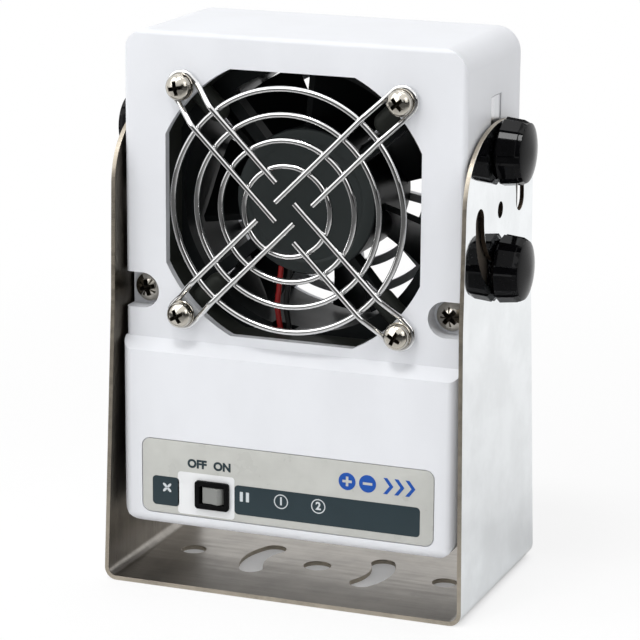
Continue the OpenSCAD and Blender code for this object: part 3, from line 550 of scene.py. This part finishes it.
def from_curve(curve):
    """The mesh shape of a curve or text, as a bmesh; the curve is removed."""
    helper = bpy.data.objects.new("helper", curve)
    bpy.context.scene.collection.objects.link(helper)
    graph = bpy.context.evaluated_depsgraph_get()
    mesh = bpy.data.meshes.new_from_object(helper.evaluated_get(graph))
    bm = bmesh.new()
    bm.from_mesh(mesh)
    bpy.data.objects.remove(helper)
    bpy.data.meshes.remove(mesh)
    bmesh.ops.remove_doubles(bm, verts=bm.verts, dist=1e-7)
    bmesh.ops.recalc_face_normals(bm, faces=bm.faces)
    return bm


def tube(points, radius, closed, sides):
    """A wire of round section through points in millimetres, with flat caps at its ends."""
    curve = bpy.data.curves.new("wire", "CURVE")
    curve.dimensions = "3D"
    curve.bevel_depth = radius * MM
    curve.bevel_resolution = max(0, (sides - 4) // 2)
    curve.use_fill_caps = True
    curve.twist_mode = "MINIMUM"
    line = curve.splines.new("POLY")
    line.use_cyclic_u = closed
    line.points.add(len(points) - 1)
    for point, place in zip(line.points, points):
        point.co = (*(Vector(place) * MM), 1)
    return from_curve(curve)


def rounded_path(corners, bend, steps):
    """The points of a path with its corners rounded to a bend radius."""
    corners = [Vector(corner) for corner in corners]
    path = [corners[0]]
    for before, corner, after in zip(corners, corners[1:], corners[2:]):
        back, ahead = (before - corner).normalized(), (after - corner).normalized()
        half = back.angle(ahead) / 2
        if half > math.radians(89.5):
            path.append(corner)
            continue
        reach = bend / math.tan(half)
        middle = corner + (back + ahead).normalized() * bend / math.sin(half)
        start, stop = corner + back * reach - middle, corner + ahead * reach - middle
        sweep = start.angle(stop)
        for i in range(steps + 1):
            t = i / steps
            path.append(middle + (start * math.sin((1 - t) * sweep) + stop * math.sin(t * sweep))
                        / math.sin(sweep))
    path.append(corners[-1])
    return path


def outline(*loops, thick):
    """A flat piece in the X-Y plane, facing +Z, from closed loops of points in millimetres;
    loops inside others are holes."""
    curve = bpy.data.curves.new("outline", "CURVE")
    curve.dimensions = "2D"
    curve.fill_mode = "BOTH"
    curve.extrude = thick / 2 * MM
    for loop in loops:
        line = curve.splines.new("POLY")
        line.use_cyclic_u = True
        line.points.add(len(loop) - 1)
        for point, (x, y) in zip(line.points, loop):
            point.co = (x * MM, y * MM, 0, 1)
    bm = from_curve(curve)
    bmesh.ops.translate(bm, vec=(0, 0, thick / 2 * MM), verts=bm.verts)
    return bm


def round_bar(w, h, r, x, y, steps=6):
    """The loop of a bar with round corners."""
    loop = []
    for quarter, (sx, sy) in enumerate(((1, 1), (-1, 1), (-1, -1), (1, -1))):
        for i in range(steps + 1):
            a = math.radians(90 * (quarter + i / steps))
            loop.append((x + sx * (w / 2 - r) + r * math.cos(a), y + sy * (h / 2 - r) + r * math.sin(a)))
    return loop


def round_dot(r, x, y, steps=40):
    """The loop of a circle."""
    return [(x + r * math.cos(i * math.tau / steps), y + r * math.sin(i * math.tau / steps))
            for i in range(steps)]


def legend(words, height, x, y, thick, weight):
    """Plain lettering, centred on a place in millimetres; weight makes its strokes bolder."""
    text = bpy.data.curves.new("legend", "FONT")
    text.body = words
    text.size = height / 0.7 * MM
    text.align_x = "CENTER"
    text.align_y = "CENTER"
    text.extrude = thick / 2 * MM
    text.offset = weight * MM
    bm = from_curve(text)
    bmesh.ops.translate(bm, vec=(x * MM, y * MM, thick / 2 * MM), verts=bm.verts)
    return bm


def cross_screw(shank_d, head_d, head_h, length, thread):
    """A pan-head screw along +Z, seated at height 0, with a cross recess and a thread."""
    ball = 0.62 * head_d
    wing = 0.285 * head_d
    half = wing * math.tan(math.radians(15))

    def dome(radius):
        return head_h - ball + math.sqrt(ball * ball - radius * radius)

    def cross(grow, height):
        def ring(turn):
            side = abs((turn + math.pi / 4) % (math.pi / 2) - math.pi / 4)
            reach = wing / math.cos(side) if side < math.radians(15.1) else half / math.sin(side)
            reach *= grow
            return reach, dome(reach) if height is None else height
        return ring

    core = shank_d / 2 - thread
    rings = [(0, -length), (core * 0.8, -length), (core, -length + 0.25)]
    turns = int((length - 0.9) / 0.5)
    for i in range(turns):
        rings += [(shank_d / 2, -length + 0.5 + 0.5 * i), (core, -length + 0.75 + 0.5 * i)]
    rings += [(shank_d / 2, -0.25), (shank_d / 2, -0.02), (head_d / 2 - 0.12, 0), (head_d / 2, 0.12)]
    side = dome(head_d / 2)
    rings += [(head_d / 2, max(0.2, side - 0.12)), (0.488 * head_d, dome(0.488 * head_d) - 0.03)]
    rings += [(r * head_d, dome(r * head_d)) for r in (0.465, 0.43, 0.39, 0.35, 0.325)]
    rings += [cross(1.03, None), cross(0.98, head_h * 0.9), cross(0.8, head_h * 0.3), (0, head_h * 0.12)]
    bm = lofted(48, rings)
    # Painted shade: the faces inside the cross recess take the second, dark finish
    for face in bm.faces:
        middle = face.calc_center_median() / MM
        radius = math.hypot(middle.x, middle.y)
        if middle.z > 0 and radius < 0.3 * head_d and middle.z < dome(radius) - 0.06:
            face.material_index = 1
    return bm


def washer(inner, outer, thick, edge=0.08):
    """A flat washer along +Z, seated at height 0."""
    loop = [
        (inner, edge), (inner + edge, 0), (outer - edge, 0), (outer, edge),
        (outer, thick - edge), (outer - edge, thick), (inner + edge, thick), (inner, thick - edge),
        (inner, edge)]
    return lofted(40, loop)


def spring_washer(inner, outer, thick, rise=0.25):
    """A split spring washer along +Z."""
    bm = bmesh.new()
    made = bmesh.ops.create_grid(bm, x_segments=1, y_segments=1, size=0.5)
    bmesh.ops.scale(bm, vec=(outer - inner, thick - rise, 1), verts=made["verts"])
    bmesh.ops.rotate(bm, matrix=Matrix.Rotation(math.radians(90), 3, "X"), verts=made["verts"])
    bmesh.ops.translate(
        bm, vec=((inner + outer) / 2, 0, (thick - rise) / 2), verts=made["verts"])
    steps = 44
    bmesh.ops.spin(
        bm, geom=list(bm.faces) + list(bm.edges) + list(bm.verts), cent=(0, 0, 0), axis=(0, 0, 1),
        angle=math.radians(344), steps=steps, dvec=(0, 0, rise / steps), use_merge=False)
    bmesh.ops.recalc_face_normals(bm, faces=bm.faces)
    soften(bm, 0.07, 2, 50)
    bmesh.ops.scale(bm, vec=(MM,) * 3, verts=bm.verts)
    return bm


def hex_nut(bore, across, thick):
    """A chamfered hexagon nut along +Z."""
    corner = across / 2 / math.cos(math.radians(30))

    def six(limit, height):
        def ring(turn):
            side = abs((turn + math.pi / 6) % (math.pi / 3) - math.pi / 6)
            return min(across / 2 / math.cos(side), limit), height
        return ring

    chamfer = (corner - across / 2) * 0.6
    return lofted(72, [
        (bore, 0.2), (bore + 0.2, 0), (across / 2 * 0.96, 0), six(across / 2 * 1.02, 0.12),
        six(corner, 0.12 + chamfer), six(corner, thick - 0.12 - chamfer),
        six(across / 2 * 1.02, thick - 0.12), (across / 2 * 0.96, thick), (bore + 0.2, thick),
        (bore, thick - 0.2), (bore, 0.2)])


def knob_shape():
    """An eight-sided clamp knob along +Z: chamfered foot, flat sides with a groove between each
    two, chamfered crown and a domed face."""
    sides = 8
    step = math.tau / sides
    flat = math.radians(14.5)

    def grooved(reach, height, depth):
        def ring(turn):
            side = abs((turn + step / 2) % step - step / 2)
            if side < flat:
                return reach * math.cos(flat) / math.cos(side), height
            return (reach - depth) / math.cos(step / 2 - side), height
        return ring

    top = KNOB_LENGTH
    rings = [
        (0, 3.9), (STUD_D / 2 + 0.02, 3.9), (STUD_D / 2 + 0.02, 0.3), (STUD_D / 2 + 0.3, 0), (6.1, 0),
        grooved(6.42, 0.06, 0.12), grooved(7.26, 0.7, 0.3), grooved(KNOB_R, 0.86, 0.42),
        grooved(KNOB_CROWN_R, top - 1.12, 0.42), grooved(6.93, top - 0.98, 0.4),
        grooved(6.55, top - 0.22, 0.16), (6.4, top - 0.04), (6.25, top + 0.04), (5.7, top + 0.24),
        (4.8, top + 0.5), (3.7, top + 0.76), (2.5, top + 0.98), (1.3, top + 1.14),
        (0.5, top + KNOB_DOME), (0, top + KNOB_DOME)]
    bm = lofted(128, rings)
    for face in bm.faces:
        if face.calc_center_median().z > (top + 0.05) * MM:
            face.material_index = 1
    return bm


def knob_seats():
    """Side, level and turn of each knob, with its seat's place from the frame."""
    for side, level, spin in (
            ("left", "upper", 9), ("left", "lower", 20), ("right", "upper", -17), ("right", "lower", 14)):
        low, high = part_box(f"knob_{level}_{side}")
        seat = high.x if side == "left" else low.x
        middle = (low + high) / 2 / MM
        yield side, level, spin, (seat / MM, middle.y, middle.z)


def fan_corners():
    half = SCREW_PITCH / 2
    return [(sx * half, FAN_Z + sz * half) for sz in (1, -1) for sx in (-1, 1)]


# ---- pieces ----

def sizes():
    return bpy.context.scene.blower_sizes


def colours():
    return bpy.context.scene.blower_colours


class BuildCase(bpy.types.Operator):
    """Front case and rear cover with softened edges"""
    bl_idname = "blower.case"
    bl_label = "Case"

    def execute(self, context):
        # The case's sides carry painted shade in the gap behind the arms
        shell = moulded("case moulding", colours().case, 0.36, 0.3, 0.01, gap_shade=colours().gap_shade)
        edge = sizes().case_edge
        refined("front_case", "case_front_shell", shell, edge, 2, 28)
        refined("rear_cover", "case_back_shell", shell, edge * 0.8, 2, 28)
        return {"FINISHED"}


class BuildBracket(bpy.types.Operator):
    """Bent stainless bracket with arched arms, polished outside and brushed inside"""
    bl_idname = "blower.bracket"
    bl_label = "Bracket"

    def arch(self, bm):
        """Carries the arms' outline over their tops as one round arch."""
        limit = (AXIS_Z + SLOT_REACH) * MM
        across = [
            edge for edge in bm.edges
            if min(vert.co.z for vert in edge.verts) > limit
            and abs(edge.verts[0].co.y - edge.verts[1].co.y) > 2 * MM]
        bmesh.ops.subdivide_edges(bm, edges=across, cuts=15, use_grid_fill=True)
        for vert in bm.verts:
            if vert.co.z > limit:
                y = vert.co.y / MM
                vert.co.z = (AXIS_Z + ARCH_RISE - ARCH_R + math.sqrt(ARCH_R * ARCH_R - y * y)) * MM

    def execute(self, context):
        tones = colours()
        # The rolled sheet turns to the dark arms tone above the base: painted shade on the arms' inner faces
        inside = brushed("rolled sheet", tones.sheet, 0.3, (22, 1, 22), 0.16, tones.arms)
        outside = polished_sheet("polished sheet", tones.mirror)
        cut = brushed("cut edge", tones.cut, 0.38, (6, 6, 1), 0.2)
        wall = brushed("slot wall", tones.slot, 0.45, (1, 6, 6), 0.3)
        bm = frame_mesh("bracket")
        self.arch(bm)
        soften(bm, sizes().sheet_edge, 2, 40)
        low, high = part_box("bracket")
        for face in bm.faces:
            middle, way = face.calc_center_median(), face.normal
            outward = way.x * (1 if middle.x > 0 else -1)
            if outward > 0.5 and abs(middle.x) > high.x - LEAN_REACH * MM:
                face.material_index = 1
            # Painted shade: walls within the slots' reach of the tilt axis, in the slots and centre holes,
            # take the dark wall finish
            elif abs(way.x) < 0.5 and math.hypot(middle.y, middle.z - AXIS_Z * MM) < (SLOT_REACH + 0.2) * MM:
                face.material_index = 3
            elif abs(way.y) > 0.6 or (abs(way.x) < 0.5 if middle.z > BEND_REACH * MM else
                                      abs(way.z) < 0.4 and abs(middle.x) < high.x - BEND_REACH * MM):
                face.material_index = 2
        finished(
            "bracket_sheet", bm, "bracket", [inside, outside, cut, wall], ["bracket"], 30, True)
        return {"FINISHED"}


class BuildTiltPlates(bpy.types.Operator):
    """Steel plates inside the case, with the strips that show at its sides"""
    bl_idname = "blower.tilt_plates"
    bl_label = "Tilt plates"

    def execute(self, context):
        steel = brushed("zinc plated steel", (0.6, 0.61, 0.63), 0.26, (1, 1, 18), 0.04)
        for side in ("left", "right"):
            refined(f"tilt_plate_{side}", f"tilt_insert_{side}", steel, 0.00012, 2, 40, 35)
        return {"FINISHED"}


class BuildKnobs(bpy.types.Operator):
    """Eight-sided clamp knobs on threaded studs"""
    bl_idname = "blower.knobs"
    bl_label = "Knobs"

    def execute(self, context):
        black = glossy_black("glossy knob", colours().knob, 0.045, 0.1)
        satin = glossy_black("satin knob face", colours().knob, 0.16, 0.1)
        steel = plated("machined stud", (0.7, 0.7, 0.71), 0.25)
        for side, level, spin, seat in knob_seats():
            body = f"knob_{level}_{side}"
            finished(
                f"clamp_knob_{level}_{side}", placed(knob_shape(), side, *seat, spin), body,
                [black, satin], [body], 15)
            low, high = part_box(f"stud_{level}_{side}")
            length = (high.x - low.x) / MM
            inner = low.x if side == "right" else high.x
            deep = sizes().thread_depth / MM
            rings = [(0, 0), (STUD_D / 2 - 0.5, 0), (STUD_D / 2 - 0.05, 0.35)]
            for i in range(int((length - 1) / 0.7)):
                rings += [(STUD_D / 2 - deep, 0.5 + 0.7 * i), (STUD_D / 2, 0.85 + 0.7 * i)]
            rings += [(STUD_D / 2 - 0.1, length - 0.1), (0, length)]
            stud = placed(lofted(32, rings), side, inner / MM, seat[1], seat[2])
            finished(
                f"threaded_stud_{level}_{side}", stud, body, [steel],
                [f"stud_{level}_{side}"], 30)
        return {"FINISHED"}


class BuildGuard(bpy.types.Operator):
    """Bent-wire guard: four hairpin arms over four rings"""
    bl_idname = "blower.guard"
    bl_label = "Guard"

    def execute(self, context):
        chrome = plated("bright chrome", (0.83, 0.83, 0.83), 0.09)
        sides = sizes().wire_sides
        half, start, step_from, step_to = 3.0, 5.9, 27.4, 33.2
        ring_y = FACE_Y - 2.5
        arm_y = ring_y - WIRE + 0.15
        foot_y = FACE_Y - WIRE / 2 - 0.01
        screw_r = SCREW_PITCH / math.sqrt(2)
        wires = []
        for radius in RING_RADII:
            steps = int(radius * 7)
            wires.append(tube(
                [(radius * math.cos(i * math.tau / steps), ring_y, FAN_Z
                  + radius * math.sin(i * math.tau / steps)) for i in range(steps)],
                WIRE / 2, True, sides))
        hairpin = rounded_path([
            (0, arm_y, half), (step_from, arm_y, half), (step_to, foot_y, half),
            (screw_r + half, foot_y, half), (screw_r + half, foot_y, -half),
            (step_to, foot_y, -half), (step_from, arm_y, -half), (start, arm_y, -half)],
            half - 0.05, 10)
        for quarter in range(4):
            turn = Matrix.Rotation(math.radians(45 + 90 * quarter), 3, "Y")
            lift = Vector((0, 0, FAN_Z))
            wires.append(tube([turn @ point + lift for point in hairpin], WIRE / 2, False, sides))
        finished(
            "guard_wires", joined(wires), "head", [chrome], ["fan_guard"], 60)
        return {"FINISHED"}


class BuildFasteners(bpy.types.Operator):
    """Screws, washers and nuts"""
    bl_idname = "blower.fasteners"
    bl_label = "Fasteners"

    def execute(self, context):
        nickel = plated("bright nickel", (0.60, 0.565, 0.50), 0.13)
        # Painted shade: the dark finish of the screws' cross recesses
        recess = plated("dull nickel", (0.10, 0.088, 0.07), 0.4)
        zinc = plated("zinc plating", (0.62, 0.63, 0.66), 0.3)
        thread = sizes().thread_depth / MM
        groups = {
            "guard_screws": (3, 5.5, 2.1, "front", (28, 61, 12, 40)),
            "case_screws": (3.5, 6.6, 2.4, "front", (15, 50)),
            "rear_screws": (2.4, 5.6, 1.6, "back", (10, 34, 70, 52)),
            "board_screws": (1.96, 4, 1.4, "back", (5, 30, 62, 81)),
        }
        for node, (shank, head, height, facing, spins) in groups.items():
            low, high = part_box(node)
            seat = (low.y / MM + height) if facing == "front" else (high.y / MM - height)
            tip = high.y / MM if facing == "front" else low.y / MM
            xs = (low.x / MM + head / 2, high.x / MM - head / 2)
            zs = (low.z / MM + head / 2, high.z / MM - head / 2)
            places = [(x, z) for z in (zs if high.z - low.z > 0.012 else zs[:1]) for x in xs]
            screws = [
                placed(cross_screw(shank, head, height, abs(tip - seat), thread), facing, x, seat, z, spin)
                for (x, z), spin in zip(places, spins)]
            finished(f"pan_{node}", joined(screws), "head", [nickel, recess], [node], 32)
        low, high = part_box("guard_washers")
        plain_y = high.y / MM
        rings = []
        for number, (x, z) in enumerate(fan_corners()):
            rings.append(placed(washer(1.6, 3, 0.5), "front", x, plain_y, z))
            rings.append(placed(spring_washer(1.6, 2.8, 0.8), "front", x, plain_y - 0.5, z, 70 + 50 * number))
        finished("washer_stack", joined(rings), "head", [nickel], ["guard_washers"], 35)
        nut_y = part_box("fan_nuts")[0].y / MM
        nuts = [placed(hex_nut(1.55, 5.5, 2.4), "back", x, nut_y, z, 30) for x, z in fan_corners()]
        finished("hexagon_nuts", joined(nuts), "head", [zinc], ["fan_nuts"], 30)
        return {"FINISHED"}


class BuildEmitter(bpy.types.Operator):
    """Emitter ring, its needles and their lead"""
    bl_idname = "blower.emitter"
    bl_label = "Emitter"

    def execute(self, context):
        grey = moulded("emitter moulding", colours().ring, 0.42, 0.25, 0.015, 0.1)
        refined("emitter_ring", "needle_ring", grey, 0.0003, 2, 35)
        needle_y = (RING[0].y + RING[1].y) / 2
        needles = []
        for quarter in range(4):
            bm = lofted(20, [(0, 0), (0.06, 0.12), (0.4, 3.0), (0.4, 11.3), (0, 11.35)])
            way = Matrix.Rotation(math.radians(45 + 90 * quarter), 4, "Y") @ FACING["right"]
            place = Vector((0, needle_y, FAN_Z)) + way.to_3x3() @ Vector((0, 0, 21.5))
            bmesh.ops.transform(bm, matrix=Matrix.Translation(place * MM) @ way, verts=bm.verts)
            needles.append(bm)
        tungsten = brushed("ground tungsten", (0.48, 0.48, 0.5), 0.2, (1, 12, 1))
        finished(
            "emitter_points", joined(needles), "head", [tungsten],
            ["emitter_needles"], 40)
        dress("emitter_lead", insulation("silicone lead", (0.78, 0.77, 0.72)))
        return {"FINISHED"}


class BuildFan(bpy.types.Operator):
    """Axial fan: frame, rotor, motor and leads"""
    bl_idname = "blower.fan"
    bl_label = "Fan"

    def execute(self, context):
        tone = colours().fan
        black = moulded("fan moulding", tone, 0.34, 0.25, 0.012, 0.16)
        satin = moulded("rotor moulding", shade(tone, 0.8), 0.3, 0.3, 0.01, 0.14)
        refined("fan_frame", "fan_housing", black, 0.00025, 2, 35)
        cap = placed(lofted(96, [
            (0, 0.02), (12.6, 0.02), (12.9, 0.06), (13.2, 0.3), (13.6, 0.42), (15.2, 0.42), (15.7, 0.3),
            (15.9, 0.02), (15.6, -0.2), (0, -0.2)]), "front", 0, FAN_Y, FAN_Z)
        slate = moulded("motor cap moulding", (0.031, 0.037, 0.037), 0.4, 0.5, 0.02, 0.2)
        finished("motor_rim", cap, "head", [slate], (), 30)
        refined("fan_rotor", "fan_wheel", satin, 0.00016, 2, 40, body="rotor")
        steel = plated("ground steel", (0.6, 0.6, 0.62), 0.16)
        for node in ("fan_bearings", "rotor_shaft"):
            dress(node, steel)
        dress("fan_stator", wound("copper winding"))
        dress("fan_circuit", circuit_film("fan circuit"))
        dress("rotor_magnet", moulded("magnet", (0.035, 0.034, 0.036), 0.55, 0.4, 0.03))
        dress("fan_lead_red", insulation("red lead", (0.28, 0.008, 0.008)))
        dress("fan_lead_black", insulation("black lead", (0.012, 0.012, 0.012)))
        return {"FINISHED"}


class BuildElectronics(bpy.types.Operator):
    """Control board, its parts and the high-voltage module"""
    bl_idname = "blower.electronics"
    bl_label = "Electronics"

    def execute(self, context):
        dress("control_board", circuit_film("control circuit"))
        dress("board_parts", moulded("component body", (0.03, 0.03, 0.034), 0.4))
        dress("high_voltage_module", moulded("potted module", (0.02, 0.02, 0.022), 0.5, 0.5, 0.03))
        return {"FINISHED"}


class BuildPanel(bpy.types.Operator):
    """Label with its printing, the switch and the light guides"""
    bl_idname = "blower.panel"
    bl_label = "Panel"

    def execute(self, context):
        tones = colours()
        film = printed("label film", tones.label, 0.3)
        slate = printed("slate ink", tones.strip)
        white = printed("white ink", (0.82, 0.83, 0.84), 0.38)
        blue = printed("blue ink", tones.accent)
        pale = printed("pale ink", (0.62, 0.66, 0.68), 0.4)
        ink = sizes().print_height / MM
        front = LABEL[0].y

        def layer(name, shapes, coat, level):
            """Lays ink on the label, at a level counted in thicknesses of ink."""
            bm = joined(shapes)
            bmesh.ops.transform(
                bm, matrix=Matrix.Translation(Vector((0, front - level * ink, 0)) * MM)
                @ FACING["front"], verts=bm.verts)
            finished(name, bm, "head", [coat], (), 40)

        refined("panel_label", "label_plate", film, 0.00008, 2, 40, weighted=False)
        base = LABEL_Z - STRIP_TOP
        strip_mid = base + (STRIP_LOW + STRIP_TOP) / 2
        strip_h = STRIP_TOP - STRIP_LOW
        strip = [outline(round_bar(width, strip_h, 0.9, x, strip_mid), thick=ink)
                 for x, width in STRIP_PIECES]
        layer("slate_strip", strip, slate, 0)
        pad_low, pad_high = LABEL[0].z + 0.35, base + PAD_TOP
        switch_x = (SWITCH[0].x + SWITCH[1].x) / 2
        switch_z = (SWITCH[0].z + SWITCH[1].z) / 2
        hole = round_bar(7.6, 6.0, 0.3, switch_x, switch_z)
        pad = outline(
            round_bar(PAD_WIDTH, pad_high - pad_low, 0.7, PAD_X, (pad_low + pad_high) / 2), hole,
            thick=ink)
        layer("switch_pad", [pad], white, 0)
        signs = [legend(word, 1.8, switch_x + shift, base + SWITCH_ROW, ink, 0.12)
                 for word, shift in (("OFF", -3.7), ("ON", 2.3))]
        layer("switch_legend", signs, slate, 0)
        row = base + SIGN_ROW
        white_signs = [outline(round_bar(0.72, 2.2, 0.1, BARS_X + 0.36 + k * 1.45, row), thick=ink)
                       for k in (0, 1)]
        for k in range(4):
            a = math.radians(45 + 90 * k)
            blade = [(MARK_X + 0.72 * math.cos(a) + 0.62 * math.cos(t * math.tau / 24) * math.cos(a)
                      - 0.3 * math.sin(t * math.tau / 24) * math.sin(a),
                      row + 0.72 * math.sin(a) + 0.62 * math.cos(t * math.tau / 24) * math.sin(a)
                      + 0.3 * math.sin(t * math.tau / 24) * math.cos(a)) for t in range(24)]
            white_signs.append(outline(blade, thick=ink))
        white_signs += [legend(word, 1.7, x, row, ink, 0.08) for word, x in NUMBERS]
        white_signs += [outline(round_dot(1.65, x, row), round_dot(1.42, x, row), thick=ink)
                        for _, x in NUMBERS]
        layer("strip_signs", white_signs, pale, 1.2)
        mid = base + FLOW_ROW
        plus = [(-1.1, -0.3), (-0.3, -0.3), (-0.3, -1.1), (0.3, -1.1), (0.3, -0.3), (1.1, -0.3),
                (1.1, 0.3), (0.3, 0.3), (0.3, 1.1), (-0.3, 1.1), (-0.3, 0.3), (-1.1, 0.3)]
        blue_signs = [
            outline(round_dot(1.95, PLUS_X, mid), [(PLUS_X + x, mid + y) for x, y in plus], thick=ink),
            outline(round_dot(1.95, MINUS_X, mid), round_bar(2.2, 0.6, 0.05, MINUS_X, mid), thick=ink)]
        for k in range(3):
            x = ARROWS_X + 2.5 * k
            blue_signs.append(outline(
                [(x, mid + 1.8), (x + 0.9, mid + 1.8), (x + 2.3, mid), (x + 0.9, mid - 1.8), (x, mid - 1.8),
                 (x + 1.4, mid)], thick=ink))
        layer("flow_sign", blue_signs, blue, 0)
        gloss = moulded("switch moulding", (0.002, 0.002, 0.0025), 0.4, 0.2, 0.006, 0.1)
        refined("switch_body", "switch_frame", gloss, 0.00018, 2, 40)
        grey = moulded("rocker moulding", (0.245, 0.25, 0.24), 0.3, 0.2, 0.008)
        refined("switch_rocker", "rocker_paddle", grey, 0.0002, 3, 35, body="rocker")
        dress("light_pipes", light_guide("light guide"))
        return {"FINISHED"}


class BuildSocket(bpy.types.Operator):
    """Power socket in the rear cover"""
    bl_idname = "blower.socket"
    bl_label = "Power socket"

    def execute(self, context):
        black = moulded("socket moulding", (0.02, 0.02, 0.022), 0.35)
        refined("power_socket", "barrel_socket", black, 0.00015, 2, 40)
        return {"FINISHED"}


# ---- stage ----

# The view: its angles in degrees, and its distance, target, lens and sensor in millimetres
VIEW_TURN = 21.14
VIEW_RISE = 14.232
VIEW_ROLL = 0.379
VIEW_DISTANCE = 617.04
VIEW_TARGET = (6.72, -19.4, 62.68)
VIEW_LENS = 162.14175
SENSOR_WIDTH = 36

# Lamps: name, place, aim, width and height, in metres
LAMPS = (
    ("key", (-0.45, -0.5, 0.56), (0, 0, 0.06), 0.75, 0.75),
    ("strip", (-0.075, -0.435, 1.11), (0.04, 0, 0.1), 0.26, 0.17),
    ("fill", (1.15, -0.75, 0.75), (0, 0, 0.06), 0.5, 0.8),
    ("top", (0.1, 0.25, 1.45), (0, 0, 0.06), 1.1, 0.9),
)


class BuildStage(bpy.types.Operator):
    """Camera, floor, room and lamps"""
    bl_idname = "blower.stage"
    bl_label = "Stage"

    def camera(self):
        data = bpy.data.cameras.new("camera")
        data.sensor_width = SENSOR_WIDTH
        data.lens = VIEW_LENS
        data.clip_start = 0.01
        data.clip_end = 50
        camera = bpy.data.objects.new("camera", data)
        bpy.context.scene.collection.objects.link(camera)
        turn, rise = math.radians(VIEW_TURN), math.radians(VIEW_RISE)
        back = Vector((
            math.sin(turn) * math.cos(rise), -math.cos(turn) * math.cos(rise), math.sin(rise)))
        right = (-back).cross(Vector((0, 0, 1))).normalized()
        up = right.cross(-back)
        roll = math.radians(VIEW_ROLL)
        side = right * math.cos(roll) + up * math.sin(roll)
        top = up * math.cos(roll) - right * math.sin(roll)
        place = (Vector(VIEW_TARGET) + back * VIEW_DISTANCE) * MM
        camera.matrix_world = Matrix.Translation(place) @ Matrix((side, top, back)).transposed().to_4x4()
        bpy.context.scene.camera = camera

    def lamp(self, name, place, aim, width, height, power):
        data = bpy.data.lights.new(name, "AREA")
        data.shape = "RECTANGLE"
        data.size, data.size_y = width, height
        data.energy = power
        lamp = bpy.data.objects.new(name, data)
        lamp.location = place
        lamp.rotation_euler = (Vector(aim) - Vector(place)).to_track_quat("-Z", "Y").to_euler()
        bpy.context.scene.collection.objects.link(lamp)

    def rays(self, board):
        """The Light Path outputs for camera, glossy and transmission rays."""
        path = board.node("ShaderNodeLightPath").socket.node.outputs
        return [Reading(board, path[name]) for name in (
            "Is Camera Ray", "Is Glossy Ray", "Is Transmission Ray")]

    def floor(self):
        bm = bmesh.new()
        bmesh.ops.create_grid(bm, x_segments=2, y_segments=2, size=3)
        mesh = bpy.data.meshes.new("floor")
        bm.to_mesh(mesh)
        bm.free()
        floor = bpy.data.objects.new("floor", mesh)
        floor.location.z = -0.00005
        bpy.context.scene.collection.objects.link(floor)
        coat = Finish("studio floor", roughness=0.7, specular_ior_level=0.1, base_color=colours().floor)
        x, y, z = coat.axes()
        far = coat.step((x * x + y * y) ** 0.5, 130.0, 330.0)
        under = coat.step(abs(x), 38.0, 43.0, 1.0, 0.0) * coat.step(abs(y), 22.0, 27.0, 1.0, 0.0)
        camera_ray, glossy_ray, clear_ray = self.rays(coat)
        seen = camera_ray.high(glossy_ray).high(clear_ray)
        ahead = glossy_ray * coat.step(y, -160.0, 60.0, 1.0, 0.0)
        glow = coat.node("ShaderNodeEmission", None, {0: (1, 1, 1), 1: 1 - ahead * 0.88})
        lift = (far * seen + (1 - far) * camera_ray * (0.78 - under * 0.6)).high(ahead * 0.85)
        mixed = coat.node("ShaderNodeMixShader", None, {
            0: lift, 1: Reading(coat, coat.shader.outputs[0]), 2: glow})
        coat.feed(coat.end.inputs[0], mixed)
        mesh.materials.append(coat.material)

    def room(self, ambient):
        world = bpy.data.worlds.new("studio room")
        world.use_nodes = True
        bpy.context.scene.world = world
        board = Board(world.node_tree)
        end = world.node_tree.nodes.new("ShaderNodeOutputWorld")
        camera_ray, glossy_ray, clear_ray = self.rays(board)
        way = board.node("ShaderNodeSeparateXYZ", None, {0: board.way()})
        outs = way.socket.node.outputs
        across, ahead, rise = (Reading(board, outs[i]) for i in range(3))
        bright = board.step(ahead, -0.3, 0.3).high(board.step(rise, 0.3, 0.6, 0.0, 1.1))
        bright = bright.high(board.step(across, -0.62, -0.4, 1.0, 0.0))
        glossy = bright * 0.97 + 0.03
        level = camera_ray.high(clear_ray)
        strength = level + (1 - level) * (glossy_ray * glossy + (1 - glossy_ray) * ambient)
        sky = board.node("ShaderNodeBackground", None, {0: (1, 1, 1), 1: strength})
        board.feed(end.inputs[0], sky)

    def execute(self, context):
        studio = context.scene.blower_studio
        self.camera()
        self.floor()
        self.room(studio.ambient)
        for name, place, aim, width, height in LAMPS:
            self.lamp(name, place, aim, width, height, getattr(studio, name))
        context.scene.view_settings.view_transform = "Standard"
        return {"FINISHED"}


PIECES = (
    BuildStage, BuildCase, BuildBracket, BuildTiltPlates, BuildKnobs, BuildGuard, BuildFasteners,
    BuildEmitter, BuildFan, BuildElectronics, BuildPanel, BuildSocket)


class BlowerPanel(bpy.types.Panel):
    """Lists the settings and the pieces"""
    bl_idname = "VIEW3D_PT_blower"
    bl_label = "Ionizing Blower"
    bl_space_type = "VIEW_3D"
    bl_region_type = "UI"
    bl_category = "Blower"

    def draw(self, context):
        for group in (context.scene.blower_sizes, context.scene.blower_colours, context.scene.blower_studio):
            box = self.layout.box()
            for name in group.bl_rna.properties.keys():
                if name not in ("rna_type", "name"):
                    box.prop(group, name)
        for piece in PIECES:
            self.layout.operator(piece.bl_idname)


GROUPS = {
    "blower_sizes": BlowerSizes, "blower_colours": BlowerColours, "blower_studio": BlowerStudio}


def register():
    for item in (*GROUPS.values(), *PIECES, BlowerPanel):
        bpy.utils.register_class(item)
    for name, group in GROUPS.items():
        setattr(bpy.types.Scene, name, PointerProperty(type=group))


def unregister():
    for name in GROUPS:
        delattr(bpy.types.Scene, name)
    for item in reversed((*GROUPS.values(), *PIECES, BlowerPanel)):
        bpy.utils.unregister_class(item)


def main():
    register()
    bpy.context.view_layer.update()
    for piece in PIECES:
        group, name = piece.bl_idname.split(".")
        getattr(getattr(bpy.ops, group), name)()


if __name__ == "__main__":
    main()
